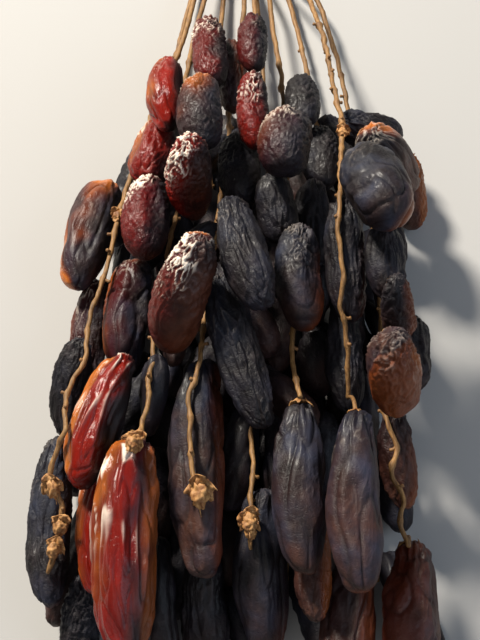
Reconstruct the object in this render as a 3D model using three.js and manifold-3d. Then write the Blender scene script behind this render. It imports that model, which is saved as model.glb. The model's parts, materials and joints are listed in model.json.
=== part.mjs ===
// A cut bunch of ripe dates, lying on its back.
// Millimetres. +X is the bunch's right, +Y runs up to the cut end of its stalk, +Z is up.
// The origin is under the middle of the bunch, on the surface that it lies on.

import * as THREE from "three";
import { mergeVertices } from "three/addons/utils/BufferGeometryUtils.js";
import Module from "manifold-3d";

// The place that the bunch is looked at from. Places of dates and strands are given on a view
// plane through the middle of the bunch, square to this line of sight, in millimetres there.
const EYE_DISTANCE = 420;
const EYE_ELEVATION = 65;
const EYE_TARGET_HEIGHT = 38;

// A date: a soft round body, blunt at its cap and slimmer at its tip. PROPORTIONS are the least
// and the most that its length is to its width, unless it looks slimmer still. One that looks
// shorter than STUB_LOOKS may be a stubbier date.
const PROPORTIONS = [2.05, 2.8];
const STUB_PROPORTION = 1.75;
const STUB_LOOKS = 1.5;
const PROPORTION_UNDER = 0.15;
const PROPORTION_OVER = 1.04;
const CAP_END = 0.8;
const TIP_END = 0.62;
const DATE_FULLNESS = 3;
const DATE_BOW = 0.03;
const SPINE_BEADS = 13;
const SKIN_BEADS = 40;
const BELLY_PLACES = [0.36, 0.64];
const FINE_FACETS = { sides: 10, endAngles: [38, 74] };
const PLAIN_FACETS = { sides: 8, endAngles: [50] };
const TILT_STEP = 7.5;
const TILT_MOST = 60;

// The strands that carry the dates, and the flat, tapered stalk that they leave. The strands
// that show leave it side by side from its upper half, and those of the back from its lower half.
const STRAND_RADIUS = 1.1;
const STRAND_SIDES = 5;
const STRAND_STEP = 3.6;
const STRAND_PASSES = 400;
const BEND_PLACES = 8;
const BEND_SPREAD = 1.4;
const SHOWN_ROOTS = 8;
const SHOWN_ROOT_HEIGHT = 0.7;
const BACK_ROOT_HEIGHT = 0.28;
const ROOT_GAP = 0.7;
const STALK_START = 195;
const STALK_LENGTH = 46;
const STALK_START_SIZE = [21, 9.6];
const STALK_CUT_SIZE = [29, 13.5];
const STALK_SIDES = 18;
const STALK_STEPS = 5;
const STALK_SPREAD = 0.8;

// The heart and the back of the bunch, which it lies on: four strands, each with dates to its
// left, to its right and above it. BACK_LANES are the strands' places at the foot of the bunch.
const BACK_LANES = [-47, -16, 16, 47];
const BACK_DATE_WIDTH = 14;
const BACK_DATE_LENGTHS = [47, 43, 38, 33];
const BACK_TURNS = [16, 22, 11, 28, 6, 1];
const BACK_RISE = 14;
const BACK_STEP = 4;
const BACK_TOP = 96;
const BACK_BOTTOM = -116;
const BACK_STRAND_STEP = 8.7;
const BACK_STRAND_SHORT = 35;
const BACK_STRAND_HEIGHT = 0.68;
const LANE_ROOT = 0.09;
const LANE_SPREAD = 0.45;
const BACK_CAP_ASIDE = 0.36;
const BACK_CAP_ABOVE = 0.3;
const BACK_LIFT = 0.2;

// Dates that fill the hollows of the bunch: they grow on every strand where there is room.
const FILL_WIDTHS = [15.5, 13.5, 12, 10.5];
const FILL_PROPORTION = 2.6;
const FILL_SPREADS = [24, 36, 50, 68];
const FILL_DIRECTIONS = 12;
const FILL_SPACING = 2;
const FILL_TOP = 84;
const FILL_LEAST_LEAN = -0.55;
const FILL_LEAST_FALL = 0.66;
const FILL_TURN = 0.38;
const FILL_CAP_SINK = 0.72;
const HIDING_SHARE = 0.85;
const BUNCH_EDGES = { left: -52, right: 60, crownLeft: -20, crownRight: 14 };
const BUNCH_SHOULDERS = { left: 12, right: 66, crown: 98 };

// Room between two pieces that touch, before their facets are counted, and under a strand, which
// is straight between its beads.
const GAP = 0.25;
const STRAND_GAP = 0.45;
const NEAREST_DEPTH = 270;
const DEPTH_STEP = 1.5;
const DEPTH_FINE = 0.05;

const SKIN_DARK = 0x2f2226;
const SKIN_RED = 0x6b1f16;
const SKIN_BROWN = 0x6a4228;
const SKIN_BLOOM = 0x4a4a5c;
const STRAND_TAN = 0xa97f45;
const STALK_TAN = 0xb98d4c;

// Dates in the order in which they lie on each other, from the back to the front.
// x, y: the middle of the date on the view plane. long, wide: its size as it looks there.
// turn: degrees from straight down to the tip, to the right. A date that looks shorter than
// its kind leans towards the eye or away from it.
const DATES_BEHIND = [
  { name: "date_middle_2", x: -49, y: -4, long: 36, wide: 14, turn: -6 },
  { name: "date_lower_1", x: -56, y: -22.5, long: 34, wide: 13, turn: -8 },
  { name: "date_bottom_4", x: -27, y: -97, long: 50, wide: 14, turn: 3 },
  { name: "date_bottom_6", x: -10.8, y: -98, long: 48, wide: 16.5, turn: 1 },
  { name: "date_bottom_2", x: -53, y: -104, long: 38, wide: 14, turn: -3 },
  { name: "date_bottom_10", x: 36.5, y: -101, long: 44, wide: 19, turn: -4 },
  { name: "date_bottom_9", x: 24.5, y: -80, long: 40, wide: 13, turn: 2 },
  { name: "date_bottom_12", x: 53, y: -46, long: 34, wide: 13, turn: 6 },
  { name: "date_upper_8", x: 27, y: 54, long: 22, wide: 13.5, turn: 6 },
  { name: "date_middle_7", x: 24.5, y: 32.5, long: 29, wide: 13, turn: 4 },
  { name: "date_lower_6", x: 35, y: -12, long: 38, wide: 14, turn: 2 },
  { name: "date_middle_9", x: 35.5, y: 20.5, long: 42, wide: 14, turn: 3 },
  { name: "date_middle_1", x: -50, y: 29, long: 38, wide: 17.5, turn: -18 },
  { name: "date_middle_4", x: -37, y: 1.5, long: 39, wide: 17, turn: -6 },
  { name: "date_bottom_3", x: -46, y: -67, long: 48, wide: 16, turn: -5 },
  { name: "date_bottom_1", x: -63, y: -66.5, long: 57, wide: 15.5, turn: -2 },
  { name: "date_bottom_7", x: 7.5, y: -84, long: 55, wide: 19, turn: 1 },
];

const DATES_LOW = [
  { name: "date_bottom_8", x: 20.5, y: -55.5, long: 59, wide: 18.5, turn: 1 },
  { name: "date_bottom_11", x: 39, y: -60, long: 61, wide: 19.5, turn: 1 },
  { name: "date_bottom_13", x: 58, y: -100, long: 52, wide: 20.5, turn: 3 },
  { name: "date_bottom_5", x: -13.5, y: -48.5, long: 73, wide: 19.5, turn: 0 },
  { name: "date_lower_2", x: -46.5, y: -33, long: 47, wide: 17, turn: -20 },
  { name: "date_bottom_14", x: -37.5, y: -75, long: 73, wide: 23.5, turn: -2 },
];

const DATES_UPPER = [
  { name: "date_upper_9", x: 43.5, y: 63, long: 22, wide: 15, turn: 70 },
  { name: "date_top_3", x: -2.5, y: 81.5, long: 24, wide: 11.5, turn: 0 },
  { name: "date_upper_11", x: 55.5, y: 43.5, long: 27, wide: 14, turn: 8 },
  { name: "date_lower_7", x: 56.8, y: -11.5, long: 27, wide: 16.5, turn: 4 },
  { name: "date_top_5", x: 21, y: 73, long: 18, wide: 12, turn: 5 },
  { name: "date_upper_5", x: 0.5, y: 51, long: 25, wide: 16, turn: 0 },
  { name: "date_top_4", x: 4.5, y: 92.5, long: 19.5, wide: 10.5, turn: 0 },
  { name: "date_upper_4", x: 4.5, y: 70, long: 26, wide: 11, turn: 3 },
  { name: "date_upper_10", x: 49.5, y: 53, long: 27, wide: 18, turn: 35 },
  { name: "date_middle_10", x: 49, y: 19.5, long: 28, wide: 14, turn: 4 },
  { name: "date_middle_11", x: 53, y: 4, long: 23, wide: 12, turn: 6 },
  { name: "date_middle_6", x: 12.5, y: 37.5, long: 26, wide: 14, turn: 10 },
];

const DATES_FRONT = [
  { name: "date_lower_4", x: 51.5, y: -17.5, long: 30, wide: 19.5, turn: 5 },
  { name: "date_upper_7", x: 45.5, y: 45, long: 31, wide: 23, turn: 25 },
  { name: "date_lower_3", x: 0, y: -10, long: 55, wide: 16, turn: 17 },
  { name: "date_middle_8", x: 20, y: 14.5, long: 36, wide: 16.5, turn: 4 },
  { name: "date_middle_5", x: 1.5, y: 22.5, long: 39.5, wide: 17, turn: 18 },
  { name: "date_upper_6", x: 15.5, y: 59.5, long: 24, wide: 19, turn: -6 },
  { name: "date_upper_1", x: -28, y: 56, long: 25, wide: 17, turn: -20 },
  { name: "date_middle_3", x: -31, y: 34.5, long: 28.5, wide: 16.5, turn: -5 },
];

const DATES_FOREMOST = [
  { name: "date_middle_12", x: -19, y: 9, long: 42, wide: 19.5, turn: -16 },
  { name: "date_top_2", x: -10, y: 89.5, long: 23, wide: 13, turn: 5 },
  { name: "date_top_1", x: -24.5, y: 75.5, long: 24.5, wide: 13, turn: 0 },
  { name: "date_upper_2", x: -13, y: 69.5, long: 25.5, wide: 16.5, turn: 2 },
  { name: "date_upper_3", x: -16.5, y: 47.5, long: 28.5, wide: 16, turn: 4 },
];

// Strands that show. route: places on the view plane from the stalk down, each x, y and, where
// the strand swells into an empty cap, its radius there. start: its place across the stalk.
const STRAND_TO_LOW_MIDDLE = {
  name: "strand_4",
  start: -0.5,
  route: [[5, 106], [5, 95], [2, 60], [0, 20], [1, -15], [3.5, -36], [4, -42.5], [4.5, -48.5],
    [4, -55.5], [3, -59.5], [4, -62], [3.3, -64, 1.6], [3.3, -66, 3.2], [3.6, -69, 2.6],
    [3.4, -72.5, 1], [3.3, -76.5, 0.8]],
};
const STRAND_TO_LOW_RIGHT = {
  name: "strand_5",
  start: 0.5,
  route: [[10, 106], [11, 96], [13.5, 83.5], [15.5, 60], [16, 30], [18, -1.5], [17.3, -7.5],
    [17.4, -14], [18.6, -19.5], [20, -25.5]],
};
const STRAND_TO_RIGHT_CORNER = {
  name: "strand_7",
  start: 2.5,
  route: [[27, 104], [33, 85], [38, 60], [45, 30], [46.5, 8], [47, -2.5], [47.5, -16], [47, -28],
    [49.5, -35.5], [53, -43.5], [50.5, -48.5], [50.3, -52.5], [53.5, -56.5], [55.3, -61],
    [53.3, -64], [53.3, -68.5], [55.3, -73], [56.3, -75.5]],
};
const STRAND_DOWN_RIGHT = {
  name: "strand_6",
  start: 1.5,
  route: [[23.5, 106], [28, 94], [31.5, 76], [33.8, 67.5, 1.3], [34.5, 63, 2.4], [33.8, 58, 1.3],
    [33.3, 47], [33.5, 42.5], [33, 36], [32.5, 29.5], [33.6, 22.5], [34.7, 14.5], [34, 9.5],
    [32.7, 4.5], [35, 0.5], [35.3, -4], [35.8, -10.5], [36, -17.5], [36, -26]],
};
const STRAND_MIDDLE_LEFT = {
  name: "strand_3",
  start: -1.5,
  route: [[1.5, 106], [0.5, 94], [-4, 75], [-3.5, 62], [-8, 30], [-12, 0], [-13, -9.5],
    [-13.3, -13.5], [-15, -20.5], [-17.3, -23.5], [-16.7, -30.5], [-16.7, -37.5],
    [-16.3, -44.5], [-16, -51], [-13.8, -54, 1.5], [-13.3, -56, 4], [-14, -59, 2]],
};
const STRAND_LEFT = {
  name: "strand_2",
  start: -2.5,
  route: [[-12, 106], [-15, 96], [-20, 70], [-21.5, 50], [-21.3, 38], [-21.3, 33], [-23, 29.5],
    [-23.7, 24.5], [-24.3, 20], [-28, 0], [-29.3, -9.5], [-28.3, -13.5], [-30.5, -18],
    [-30.3, -23.5], [-30.3, -28.5], [-32.7, -32.5], [-32.7, -36], [-33.7, -38.5, 1.6],
    [-35, -40, 3], [-36.3, -42.5, 1.6]],
};
const STRAND_FAR_LEFT = {
  name: "strand_1",
  start: -3.5,
  route: [[-15.5, 106], [-18, 96], [-22, 85], [-29.5, 68], [-35, 52], [-40.5, 35, 2.4],
    [-41.7, 29.5, 1.3], [-43, 22.5], [-44.5, 17.5], [-46.5, 10.5], [-49, 5], [-50.5, -2],
    [-51.3, -7.5], [-51, -12], [-53, -16.5], [-55.5, -19], [-58, -25.5], [-58.3, -31],
    [-58, -37], [-59.5, -39], [-61.5, -45], [-63.3, -49.5], [-63.6, -54.5, 3],
    [-60.5, -58.5, 1.2], [-59.3, -62], [-59.3, -67.5, 2.8], [-61.5, -75, 2.8], [-64, -84.5, 0.8]],
};

const wasm = await Module();
wasm.setup();

const radians = THREE.MathUtils.degToRad;
const xAxis = new THREE.Vector3(1, 0, 0);
const zAxis = new THREE.Vector3(0, 0, 1);
const sightAngle = radians(EYE_ELEVATION);
const sightAxis = new THREE.Vector3(0, Math.cos(sightAngle), -Math.sin(sightAngle));
const sightUp = new THREE.Vector3(0, -sightAxis.z, sightAxis.y);
const eye = new THREE.Vector3(0, 0, EYE_TARGET_HEIGHT).addScaledVector(sightAxis, -EYE_DISTANCE);

// The point at a place of the view plane and a depth before the eye.
function seen(x, y, depth) {
  const scale = depth / EYE_DISTANCE;
  return eye.clone()
    .addScaledVector(sightAxis, depth)
    .addScaledVector(xAxis, x * scale)
    .addScaledVector(sightUp, y * scale);
}

// The place on the view plane, and the depth, of a point.
function onView(point) {
  const offset = point.clone().sub(eye);
  const depth = offset.dot(sightAxis);
  const scale = EYE_DISTANCE / depth;
  return { x: offset.dot(xAxis) * scale, y: offset.dot(sightUp) * scale, depth };
}

// A body is a row of beads: each has a place and a radius, and it is round between them.
function bead(at, radius) {
  return { at, radius };
}

function makeBody(beads) {
  const box = new THREE.Box3();
  for (const each of beads) {
    const half = new THREE.Vector3(each.radius, each.radius, each.radius);
    box.expandByPoint(each.at.clone().add(half));
    box.expandByPoint(each.at.clone().sub(half));
  }
  return { beads, box };
}

// The room between a ball and a body.
function roomToBody(ball, body) {
  let least = Infinity;
  const along = new THREE.Vector3();
  const offset = new THREE.Vector3();
  for (let i = 0; i + 1 < body.beads.length; i += 1) {
    const from = body.beads[i];
    const to = body.beads[i + 1];
    along.subVectors(to.at, from.at);
    offset.subVectors(ball.at, from.at);
    const share = THREE.MathUtils.clamp(offset.dot(along) / along.lengthSq(), 0, 1);
    const reach = THREE.MathUtils.lerp(from.radius, to.radius, share) + ball.radius;
    least = Math.min(least, offset.addScaledVector(along, -share).length() - reach);
  }
  return least;
}

function isClear(body, others, gap = GAP) {
  const grown = body.box.clone().expandByScalar(gap);
  for (const each of body.beads) {
    if (each.at.z < each.radius) {
      return false;
    }
  }
  for (const other of others) {
    if (!grown.intersectsBox(other.box)) {
      continue;
    }
    for (const each of body.beads) {
      if (roomToBody(each, other) < gap) {
        return false;
      }
    }
  }
  return true;
}

// Moves a body in from the eye until it touches what lies behind it.
function pushIn(bodyAt, others, gap = GAP) {
  let clear = NEAREST_DEPTH;
  let touching = clear;
  while (isClear(bodyAt(touching), others, gap)) {
    clear = touching;
    touching += DEPTH_STEP;
  }
  while (touching - clear > DEPTH_FINE) {
    const middle = (clear + touching) / 2;
    if (isClear(bodyAt(middle), others, gap)) {
      clear = middle;
    } else {
      touching = middle;
    }
  }
  return clear;
}

// The beads' radius along a date, where along runs from -1 at the cap to 1 at the tip.
function dateRadius(along, width) {
  const loss = along < 0 ? 1 - CAP_END : 1 - TIP_END;
  return (width / 2) * (1 - loss * Math.abs(along) ** DATE_FULLNESS);
}

// A date's beads, from its middle, its direction from cap to tip and the side it bows to.
function dateBeads(middle, direction, side, length, width, count) {
  const capRadius = dateRadius(-1, width);
  const tipRadius = dateRadius(1, width);
  const beads = [];
  for (let i = 0; i < count; i += 1) {
    const along = (2 * i) / (count - 1) - 1;
    const reach = THREE.MathUtils.lerp(capRadius, length - tipRadius, i / (count - 1)) - length / 2;
    const at = middle.clone()
      .addScaledVector(direction, reach)
      .addScaledVector(side, DATE_BOW * length * (0.5 - along ** 2));
    beads.push(bead(at, dateRadius(along, width)));
  }
  return beads;
}

// A date seen at a place of the view plane: its direction and its true size at a depth, with its
// tip leant towards the eye by a tilt in degrees.
function dateAt(row, depth, tilt) {
  const middle = seen(row.x, row.y, depth);
  const toEye = eye.clone().sub(middle).normalize();
  const across = new THREE.Vector3().crossVectors(sightUp, toEye).normalize();
  const up = new THREE.Vector3().crossVectors(toEye, across);
  const lean = radians(tilt);
  const turn = radians(row.turn);
  const width = (row.wide * depth) / EYE_DISTANCE;
  const direction = across.clone().multiplyScalar(Math.sin(turn) * Math.cos(lean))
    .addScaledVector(up, -Math.cos(turn) * Math.cos(lean))
    .addScaledVector(toEye, Math.sin(lean));
  const side = new THREE.Vector3().crossVectors(direction, toEye).normalize();
  return { middle, direction, side, length: width * proportionAt(row, tilt), width };
}

// What a date's length is to its width, if it looks as it does at this tilt.
function proportionAt(row, tilt) {
  const looks = row.long / row.wide;
  const lean = radians(tilt);
  return Math.sqrt(looks ** 2 - Math.sin(lean) ** 2) / Math.cos(lean);
}

// The tilts at which a date that looks like this has the proportions of its kind.
function tiltsOf(row) {
  const looks = row.long / row.wide;
  const least = looks < STUB_LOOKS ? STUB_PROPORTION : PROPORTIONS[0];
  const most = Math.max(PROPORTIONS[1], looks * PROPORTION_OVER);
  const tilts = [];
  for (let tilt = -TILT_MOST; tilt <= TILT_MOST; tilt += TILT_STEP) {
    const proportion = proportionAt(row, tilt);
    if (proportion >= least - PROPORTION_UNDER && proportion <= most) {
      tilts.push(tilt);
    }
  }
  return tilts.length > 0 ? tilts : [0];
}

function dateBody(date) {
  const { middle, direction, side, length, width } = date;
  return makeBody(dateBeads(middle, direction, side, length, width, SPINE_BEADS));
}

// A closed surface through rings of points, from a first to a last point.
function loft(first, rings, last) {
  const sides = rings[0].length;
  const positions = [first, ...rings.flat(), last].flatMap((point) => [point.x, point.y, point.z]);
  const triangles = [];
  const end = 1 + rings.length * sides;
  for (let i = 0; i < sides; i += 1) {
    const next = (i + 1) % sides;
    triangles.push(0, 1 + next, 1 + i);
    for (let ring = 0; ring + 1 < rings.length; ring += 1) {
      const here = 1 + ring * sides;
      const there = here + sides;
      triangles.push(here + i, here + next, there + i, here + next, there + next, there + i);
    }
    triangles.push(end, end - sides + i, end - sides + next);
  }
  const geometry = new THREE.BufferGeometry();
  geometry.setAttribute("position", new THREE.Float32BufferAttribute(positions, 3));
  geometry.setIndex(triangles);
  return geometry;
}

// A ring of points about a middle, in the plane of two directions.
function ringAbout(middle, firstSide, secondSide, firstReach, secondReach, sides) {
  const ring = [];
  for (let i = 0; i < sides; i += 1) {
    const angle = (2 * Math.PI * i) / sides;
    ring.push(middle.clone()
      .addScaledVector(firstSide, firstReach * Math.cos(angle))
      .addScaledVector(secondSide, secondReach * Math.sin(angle)));
  }
  return ring;
}

// A date's surface: the skin round its beads.
function dateGeometry(date, facets) {
  const { sides, endAngles } = facets;
  const { middle, direction, side, length, width } = date;
  const capRadius = dateRadius(-1, width);
  const tipRadius = dateRadius(1, width);
  const third = new THREE.Vector3().crossVectors(direction, side);
  const start = middle.clone().addScaledVector(direction, -length / 2);
  const fine = dateBeads(middle, direction, side, length, width, SKIN_BEADS);
  const facetGrowth = 1 / Math.sqrt(Math.cos(Math.PI / sides));
  const onAxis = (reach) => start.clone()
    .addScaledVector(direction, reach)
    .addScaledVector(side, DATE_BOW * length * (0.5 - ((2 * reach) / length - 1) ** 2));
  const rises = endAngles.map((angle) => 1 - Math.cos(radians(angle)));
  const reaches = [
    ...rises.map((rise) => capRadius * rise),
    ...BELLY_PLACES.map((place) => length * place),
    ...rises.map((rise) => length - tipRadius * rise).reverse(),
  ];
  const rings = reaches.map((reach) => {
    const at = onAxis(reach);
    let radius = 0;
    for (const each of fine) {
      const away = at.clone().sub(each.at).dot(direction);
      radius = Math.max(radius, Math.sqrt(Math.max(0, each.radius ** 2 - away ** 2)));
    }
    return ringAbout(at, side, third, radius * facetGrowth, radius * facetGrowth, sides);
  });
  return loft(onAxis(0), rings, onAxis(length));
}

// Points along a route, a step apart, with the radius carried between its places.
function pointsAlong(places, step) {
  const points = [places[0]];
  for (let i = 0; i + 1 < places.length; i += 1) {
    const from = places[i];
    const to = places[i + 1];
    const count = Math.max(1, Math.round(Math.hypot(to.x - from.x, to.y - from.y) / step));
    for (let k = 1; k <= count; k += 1) {
      const share = k / count;
      points.push({
        x: THREE.MathUtils.lerp(from.x, to.x, share),
        y: THREE.MathUtils.lerp(from.y, to.y, share),
        radius: THREE.MathUtils.lerp(from.radius, to.radius, share),
      });
    }
  }
  return points;
}

// Places on a smooth bend from the stalk to the first place of a route.
function bendFromStalk(root, first, second) {
  const fall = (root.y - first.y) / 3;
  const slope = (second.x - first.x) / (second.y - first.y);
  const bend = new THREE.CubicBezierCurve(
    new THREE.Vector2(root.x, root.y),
    new THREE.Vector2(root.x * BEND_SPREAD, root.y - fall),
    new THREE.Vector2(first.x + slope * fall, first.y + fall),
    new THREE.Vector2(first.x, first.y),
  );
  return bend.getPoints(BEND_PLACES).slice(0, -1).map(({ x, y }) => ({ x, y, radius: STRAND_RADIUS }));
}

// A strand laid over what is behind it: pulled straight, and held up where it touches.
function drapedStrand(strand, others) {
  const spacing = (STALK_START_SIZE[0] - 3 * STRAND_RADIUS) / (SHOWN_ROOTS - 1);
  const rootHeight = STALK_START_SIZE[1] * SHOWN_ROOT_HEIGHT;
  const root = new THREE.Vector3(strand.start * spacing, STALK_START - ROOT_GAP, rootHeight);
  const rootSeen = onView(root);
  const places = strand.route.map(([x, y, radius = STRAND_RADIUS]) => ({ x, y, radius }));
  const points = pointsAlong([...bendFromStalk(rootSeen, places[0], places[1]), ...places], STRAND_STEP);
  const ball = (point, depth) => makeBody([bead(seen(point.x, point.y, depth), point.radius)]);
  const touching = points.map((point) => pushIn((depth) => ball(point, depth), others, STRAND_GAP));
  touching[0] = rootSeen.depth;
  const depths = [...touching];
  for (let pass = 0; pass < STRAND_PASSES; pass += 1) {
    for (let i = 1; i + 1 < depths.length; i += 1) {
      depths[i] = Math.min(touching[i], (depths[i - 1] + depths[i + 1]) / 2);
    }
  }
  return makeBody(points.map((point, i) => bead(seen(point.x, point.y, depths[i]), point.radius)));
}

// The surface of a strand: a ring at each bead, square to the strand there.
function strandGeometry(body) {
  const beads = body.beads;
  const rings = [];
  let side = xAxis.clone();
  for (let i = 0; i < beads.length; i += 1) {
    const before = beads[Math.max(0, i - 1)].at;
    const after = beads[Math.min(beads.length - 1, i + 1)].at;
    const along = after.clone().sub(before).normalize();
    side = side.clone().addScaledVector(along, -side.dot(along)).normalize();
    const third = new THREE.Vector3().crossVectors(along, side);
    rings.push(ringAbout(beads[i].at, side, third, beads[i].radius, beads[i].radius, STRAND_SIDES));
  }
  return loft(beads[0].at, rings, beads[beads.length - 1].at);
}

// The stalk: a flat tapering piece, from where the strands leave it to its cut.
function stalkGeometry() {
  const rings = [];
  for (let i = 0; i <= STALK_STEPS; i += 1) {
    const share = i / STALK_STEPS;
    const width = THREE.MathUtils.lerp(STALK_START_SIZE[0], STALK_CUT_SIZE[0], share ** STALK_SPREAD);
    const height = THREE.MathUtils.lerp(STALK_START_SIZE[1], STALK_CUT_SIZE[1], share ** STALK_SPREAD);
    const middle = new THREE.Vector3(0, STALK_START + STALK_LENGTH * share, height / 2);
    rings.push(ringAbout(middle, zAxis, xAxis, height / 2, width / 2, STALK_SIDES));
  }
  const start = new THREE.Vector3(0, STALK_START, STALK_START_SIZE[1] / 2);
  const end = new THREE.Vector3(0, STALK_START + STALK_LENGTH, STALK_CUT_SIZE[1] / 2);
  return loft(start, rings, end);
}

function toSolid(geometry) {
  const merged = mergeVertices(geometry, 1e-4);
  return new wasm.Manifold(new wasm.Mesh({
    numProp: 3,
    vertProperties: new Float32Array(merged.attributes.position.array),
    triVerts: new Uint32Array(merged.index.array),
  }));
}

function fromSolid(solid) {
  const mesh = solid.getMesh();
  const geometry = new THREE.BufferGeometry();
  geometry.setAttribute("position", new THREE.Float32BufferAttribute(mesh.vertProperties, 3));
  geometry.setIndex(Array.from(mesh.triVerts));
  return geometry;
}

// Where a strand at the back of the bunch runs: from its foot up to the stalk.
function backLaneX(index, y) {
  const foot = BACK_LANES[index];
  const share = (STALK_START - y) / (STALK_START - BACK_BOTTOM);
  return foot * THREE.MathUtils.lerp(LANE_ROOT, 1, share ** LANE_SPREAD);
}

function backStrandHeight(y) {
  const rise = THREE.MathUtils.smoothstep(STALK_START - y, 0, STALK_START - BACK_TOP);
  const rootHeight = STALK_START_SIZE[1] * BACK_ROOT_HEIGHT;
  return THREE.MathUtils.lerp(rootHeight, BACK_DATE_WIDTH * BACK_STRAND_HEIGHT, rise);
}

function backStrandBody(index) {
  const beads = [];
  const lastY = BACK_BOTTOM + BACK_STRAND_SHORT;
  const steps = Math.round((STALK_START - lastY) / BACK_STRAND_STEP);
  for (let i = 0; i <= steps; i += 1) {
    const y = THREE.MathUtils.lerp(STALK_START - ROOT_GAP, lastY, i / steps);
    beads.push(bead(new THREE.Vector3(backLaneX(index, y), y, backStrandHeight(y)), STRAND_RADIUS));
  }
  return makeBody(beads);
}

// One date of a strand at the back. rank: -1 to its left, 1 to its right, 0 above it.
function backDate(index, y, rank, length, degrees) {
  const width = BACK_DATE_WIDTH * Math.sqrt(length / BACK_DATE_LENGTHS[1]);
  const turn = radians(degrees * rank);
  const rise = radians(rank === 0 ? BACK_RISE : 0);
  const direction = new THREE.Vector3(Math.sin(turn), -Math.cos(turn) * Math.cos(rise), Math.sin(rise));
  const aside = rank * width * BACK_CAP_ASIDE;
  const above = rank === 0 ? backStrandHeight(y) + width * BACK_CAP_ABOVE : width / 2 + BACK_LIFT;
  const cap = new THREE.Vector3(backLaneX(index, y) + aside, y, above);
  const middle = cap.clone().addScaledVector(direction, length / 2 - width * CAP_END * 0.5);
  const side = zAxis.clone().cross(direction).normalize();
  return { middle, direction, side, length, width };
}

function backDateThatFits(index, y, rank, strandBody, others) {
  for (const length of BACK_DATE_LENGTHS) {
    for (const degrees of BACK_TURNS) {
      const date = backDate(index, y, rank, length, degrees);
      const body = dateBody(date);
      const sunk = roomToBody(body.beads[0], strandBody) < -STRAND_RADIUS / 2;
      if (sunk && date.middle.y - length / 2 > BACK_BOTTOM && isClear(body, others)) {
        return { date, body };
      }
    }
  }
  return null;
}

// The dates of a strand at the back: by turns to its right, to its left and above, wherever one fits.
function addBackDates(strand, index) {
  const others = placed.filter((body) => body !== strand.body);
  for (let y = BACK_TOP; y > BACK_BOTTOM; y -= BACK_STEP) {
    for (const rank of [1, -1, 0]) {
      const found = backDateThatFits(index, y, rank, strand.body, others);
      if (found) {
        others.push(found.body);
        placed.push(found.body);
        strand.dates.push(found.date);
      }
    }
  }
}

function material(colour, roughness) {
  return new THREE.MeshStandardMaterial({ color: colour, roughness, metalness: 0 });
}

function named(name, geometry, surface) {
  const mesh = new THREE.Mesh(geometry, surface);
  mesh.name = name;
  return mesh;
}

function dateMaterial(row) {
  const reds = ["date_top_1", "date_top_2", "date_upper_1", "date_upper_3", "date_upper_4"];
  const lowReds = ["date_middle_3", "date_middle_12", "date_lower_2", "date_bottom_3", "date_bottom_14"];
  const browns = ["date_lower_4", "date_middle_11", "date_bottom_13", "date_bottom_10"];
  const bloomed = ["date_middle_8", "date_bottom_8", "date_bottom_5", "date_bottom_1", "date_middle_1"];
  if (reds.includes(row.name) || lowReds.includes(row.name)) {
    return material(SKIN_RED, 0.35);
  }
  if (browns.includes(row.name)) {
    return material(SKIN_BROWN, 0.45);
  }
  return bloomed.includes(row.name) ? material(SKIN_BLOOM, 0.6) : material(SKIN_DARK, 0.45);
}

const bunch = new THREE.Group();
const placed = [];
const shownDates = [];
const strands = [];

// A date at the tilt that lets it lie deepest in the bunch.
function settledDate(row, others) {
  let best = { depth: 0 };
  for (const tilt of tiltsOf(row)) {
    const depth = pushIn((each) => dateBody(dateAt(row, each, tilt)), others);
    if (depth > best.depth) {
      best = { depth, tilt };
    }
  }
  return dateAt(row, best.depth, best.tilt);
}

function addDates(rows) {
  for (const row of rows) {
    const date = settledDate(row, placed);
    placed.push(dateBody(date));
    shownDates.push(dateBody(date));
    bunch.add(named(row.name, dateGeometry(date, FINE_FACETS), dateMaterial(row)));
  }
}

function addStrand(strand) {
  const body = drapedStrand(strand, placed);
  placed.push(body);
  strands.push({ name: strand.name, body, dates: [] });
}

function addBackSprays() {
  BACK_LANES.forEach((foot, i) => {
    const body = backStrandBody(i);
    placed.push(body);
    strands.push({ name: `back_spray_${i + 1}`, body, dates: [] });
  });
  strands.forEach(addBackDates);
}

// Whether a body stays inside the outline of the bunch, as it looks on the view plane.
function isInOutline(body) {
  const { left, right, crownLeft, crownRight } = BUNCH_EDGES;
  return body.beads.every((each) => {
    const { x, y, depth } = onView(each.at);
    const reach = (each.radius * EYE_DISTANCE) / depth;
    const leftShare = THREE.MathUtils.clamp((y - BUNCH_SHOULDERS.left)
      / (BUNCH_SHOULDERS.crown - BUNCH_SHOULDERS.left), 0, 1);
    const rightShare = THREE.MathUtils.clamp((y - BUNCH_SHOULDERS.right)
      / (BUNCH_SHOULDERS.crown - BUNCH_SHOULDERS.right), 0, 1);
    const leftEdge = THREE.MathUtils.lerp(left, crownLeft, leftShare);
    const rightEdge = THREE.MathUtils.lerp(right, crownRight, rightShare);
    return x - reach > leftEdge && x + reach < rightEdge;
  });
}

// Whether a body hides any of the dates that show.
function hidesAny(body, shown) {
  const spots = body.beads.map((each) => ({ ...onView(each.at), radius: each.radius }));
  return shown.some((other) => other.beads.some((each) => {
    const place = onView(each.at);
    return spots.some((spot) => {
      const reach = (spot.radius + each.radius) * HIDING_SHARE * (EYE_DISTANCE / place.depth);
      return spot.depth < place.depth && Math.hypot(spot.x - place.x, spot.y - place.y) < reach;
    });
  }));
}

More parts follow.
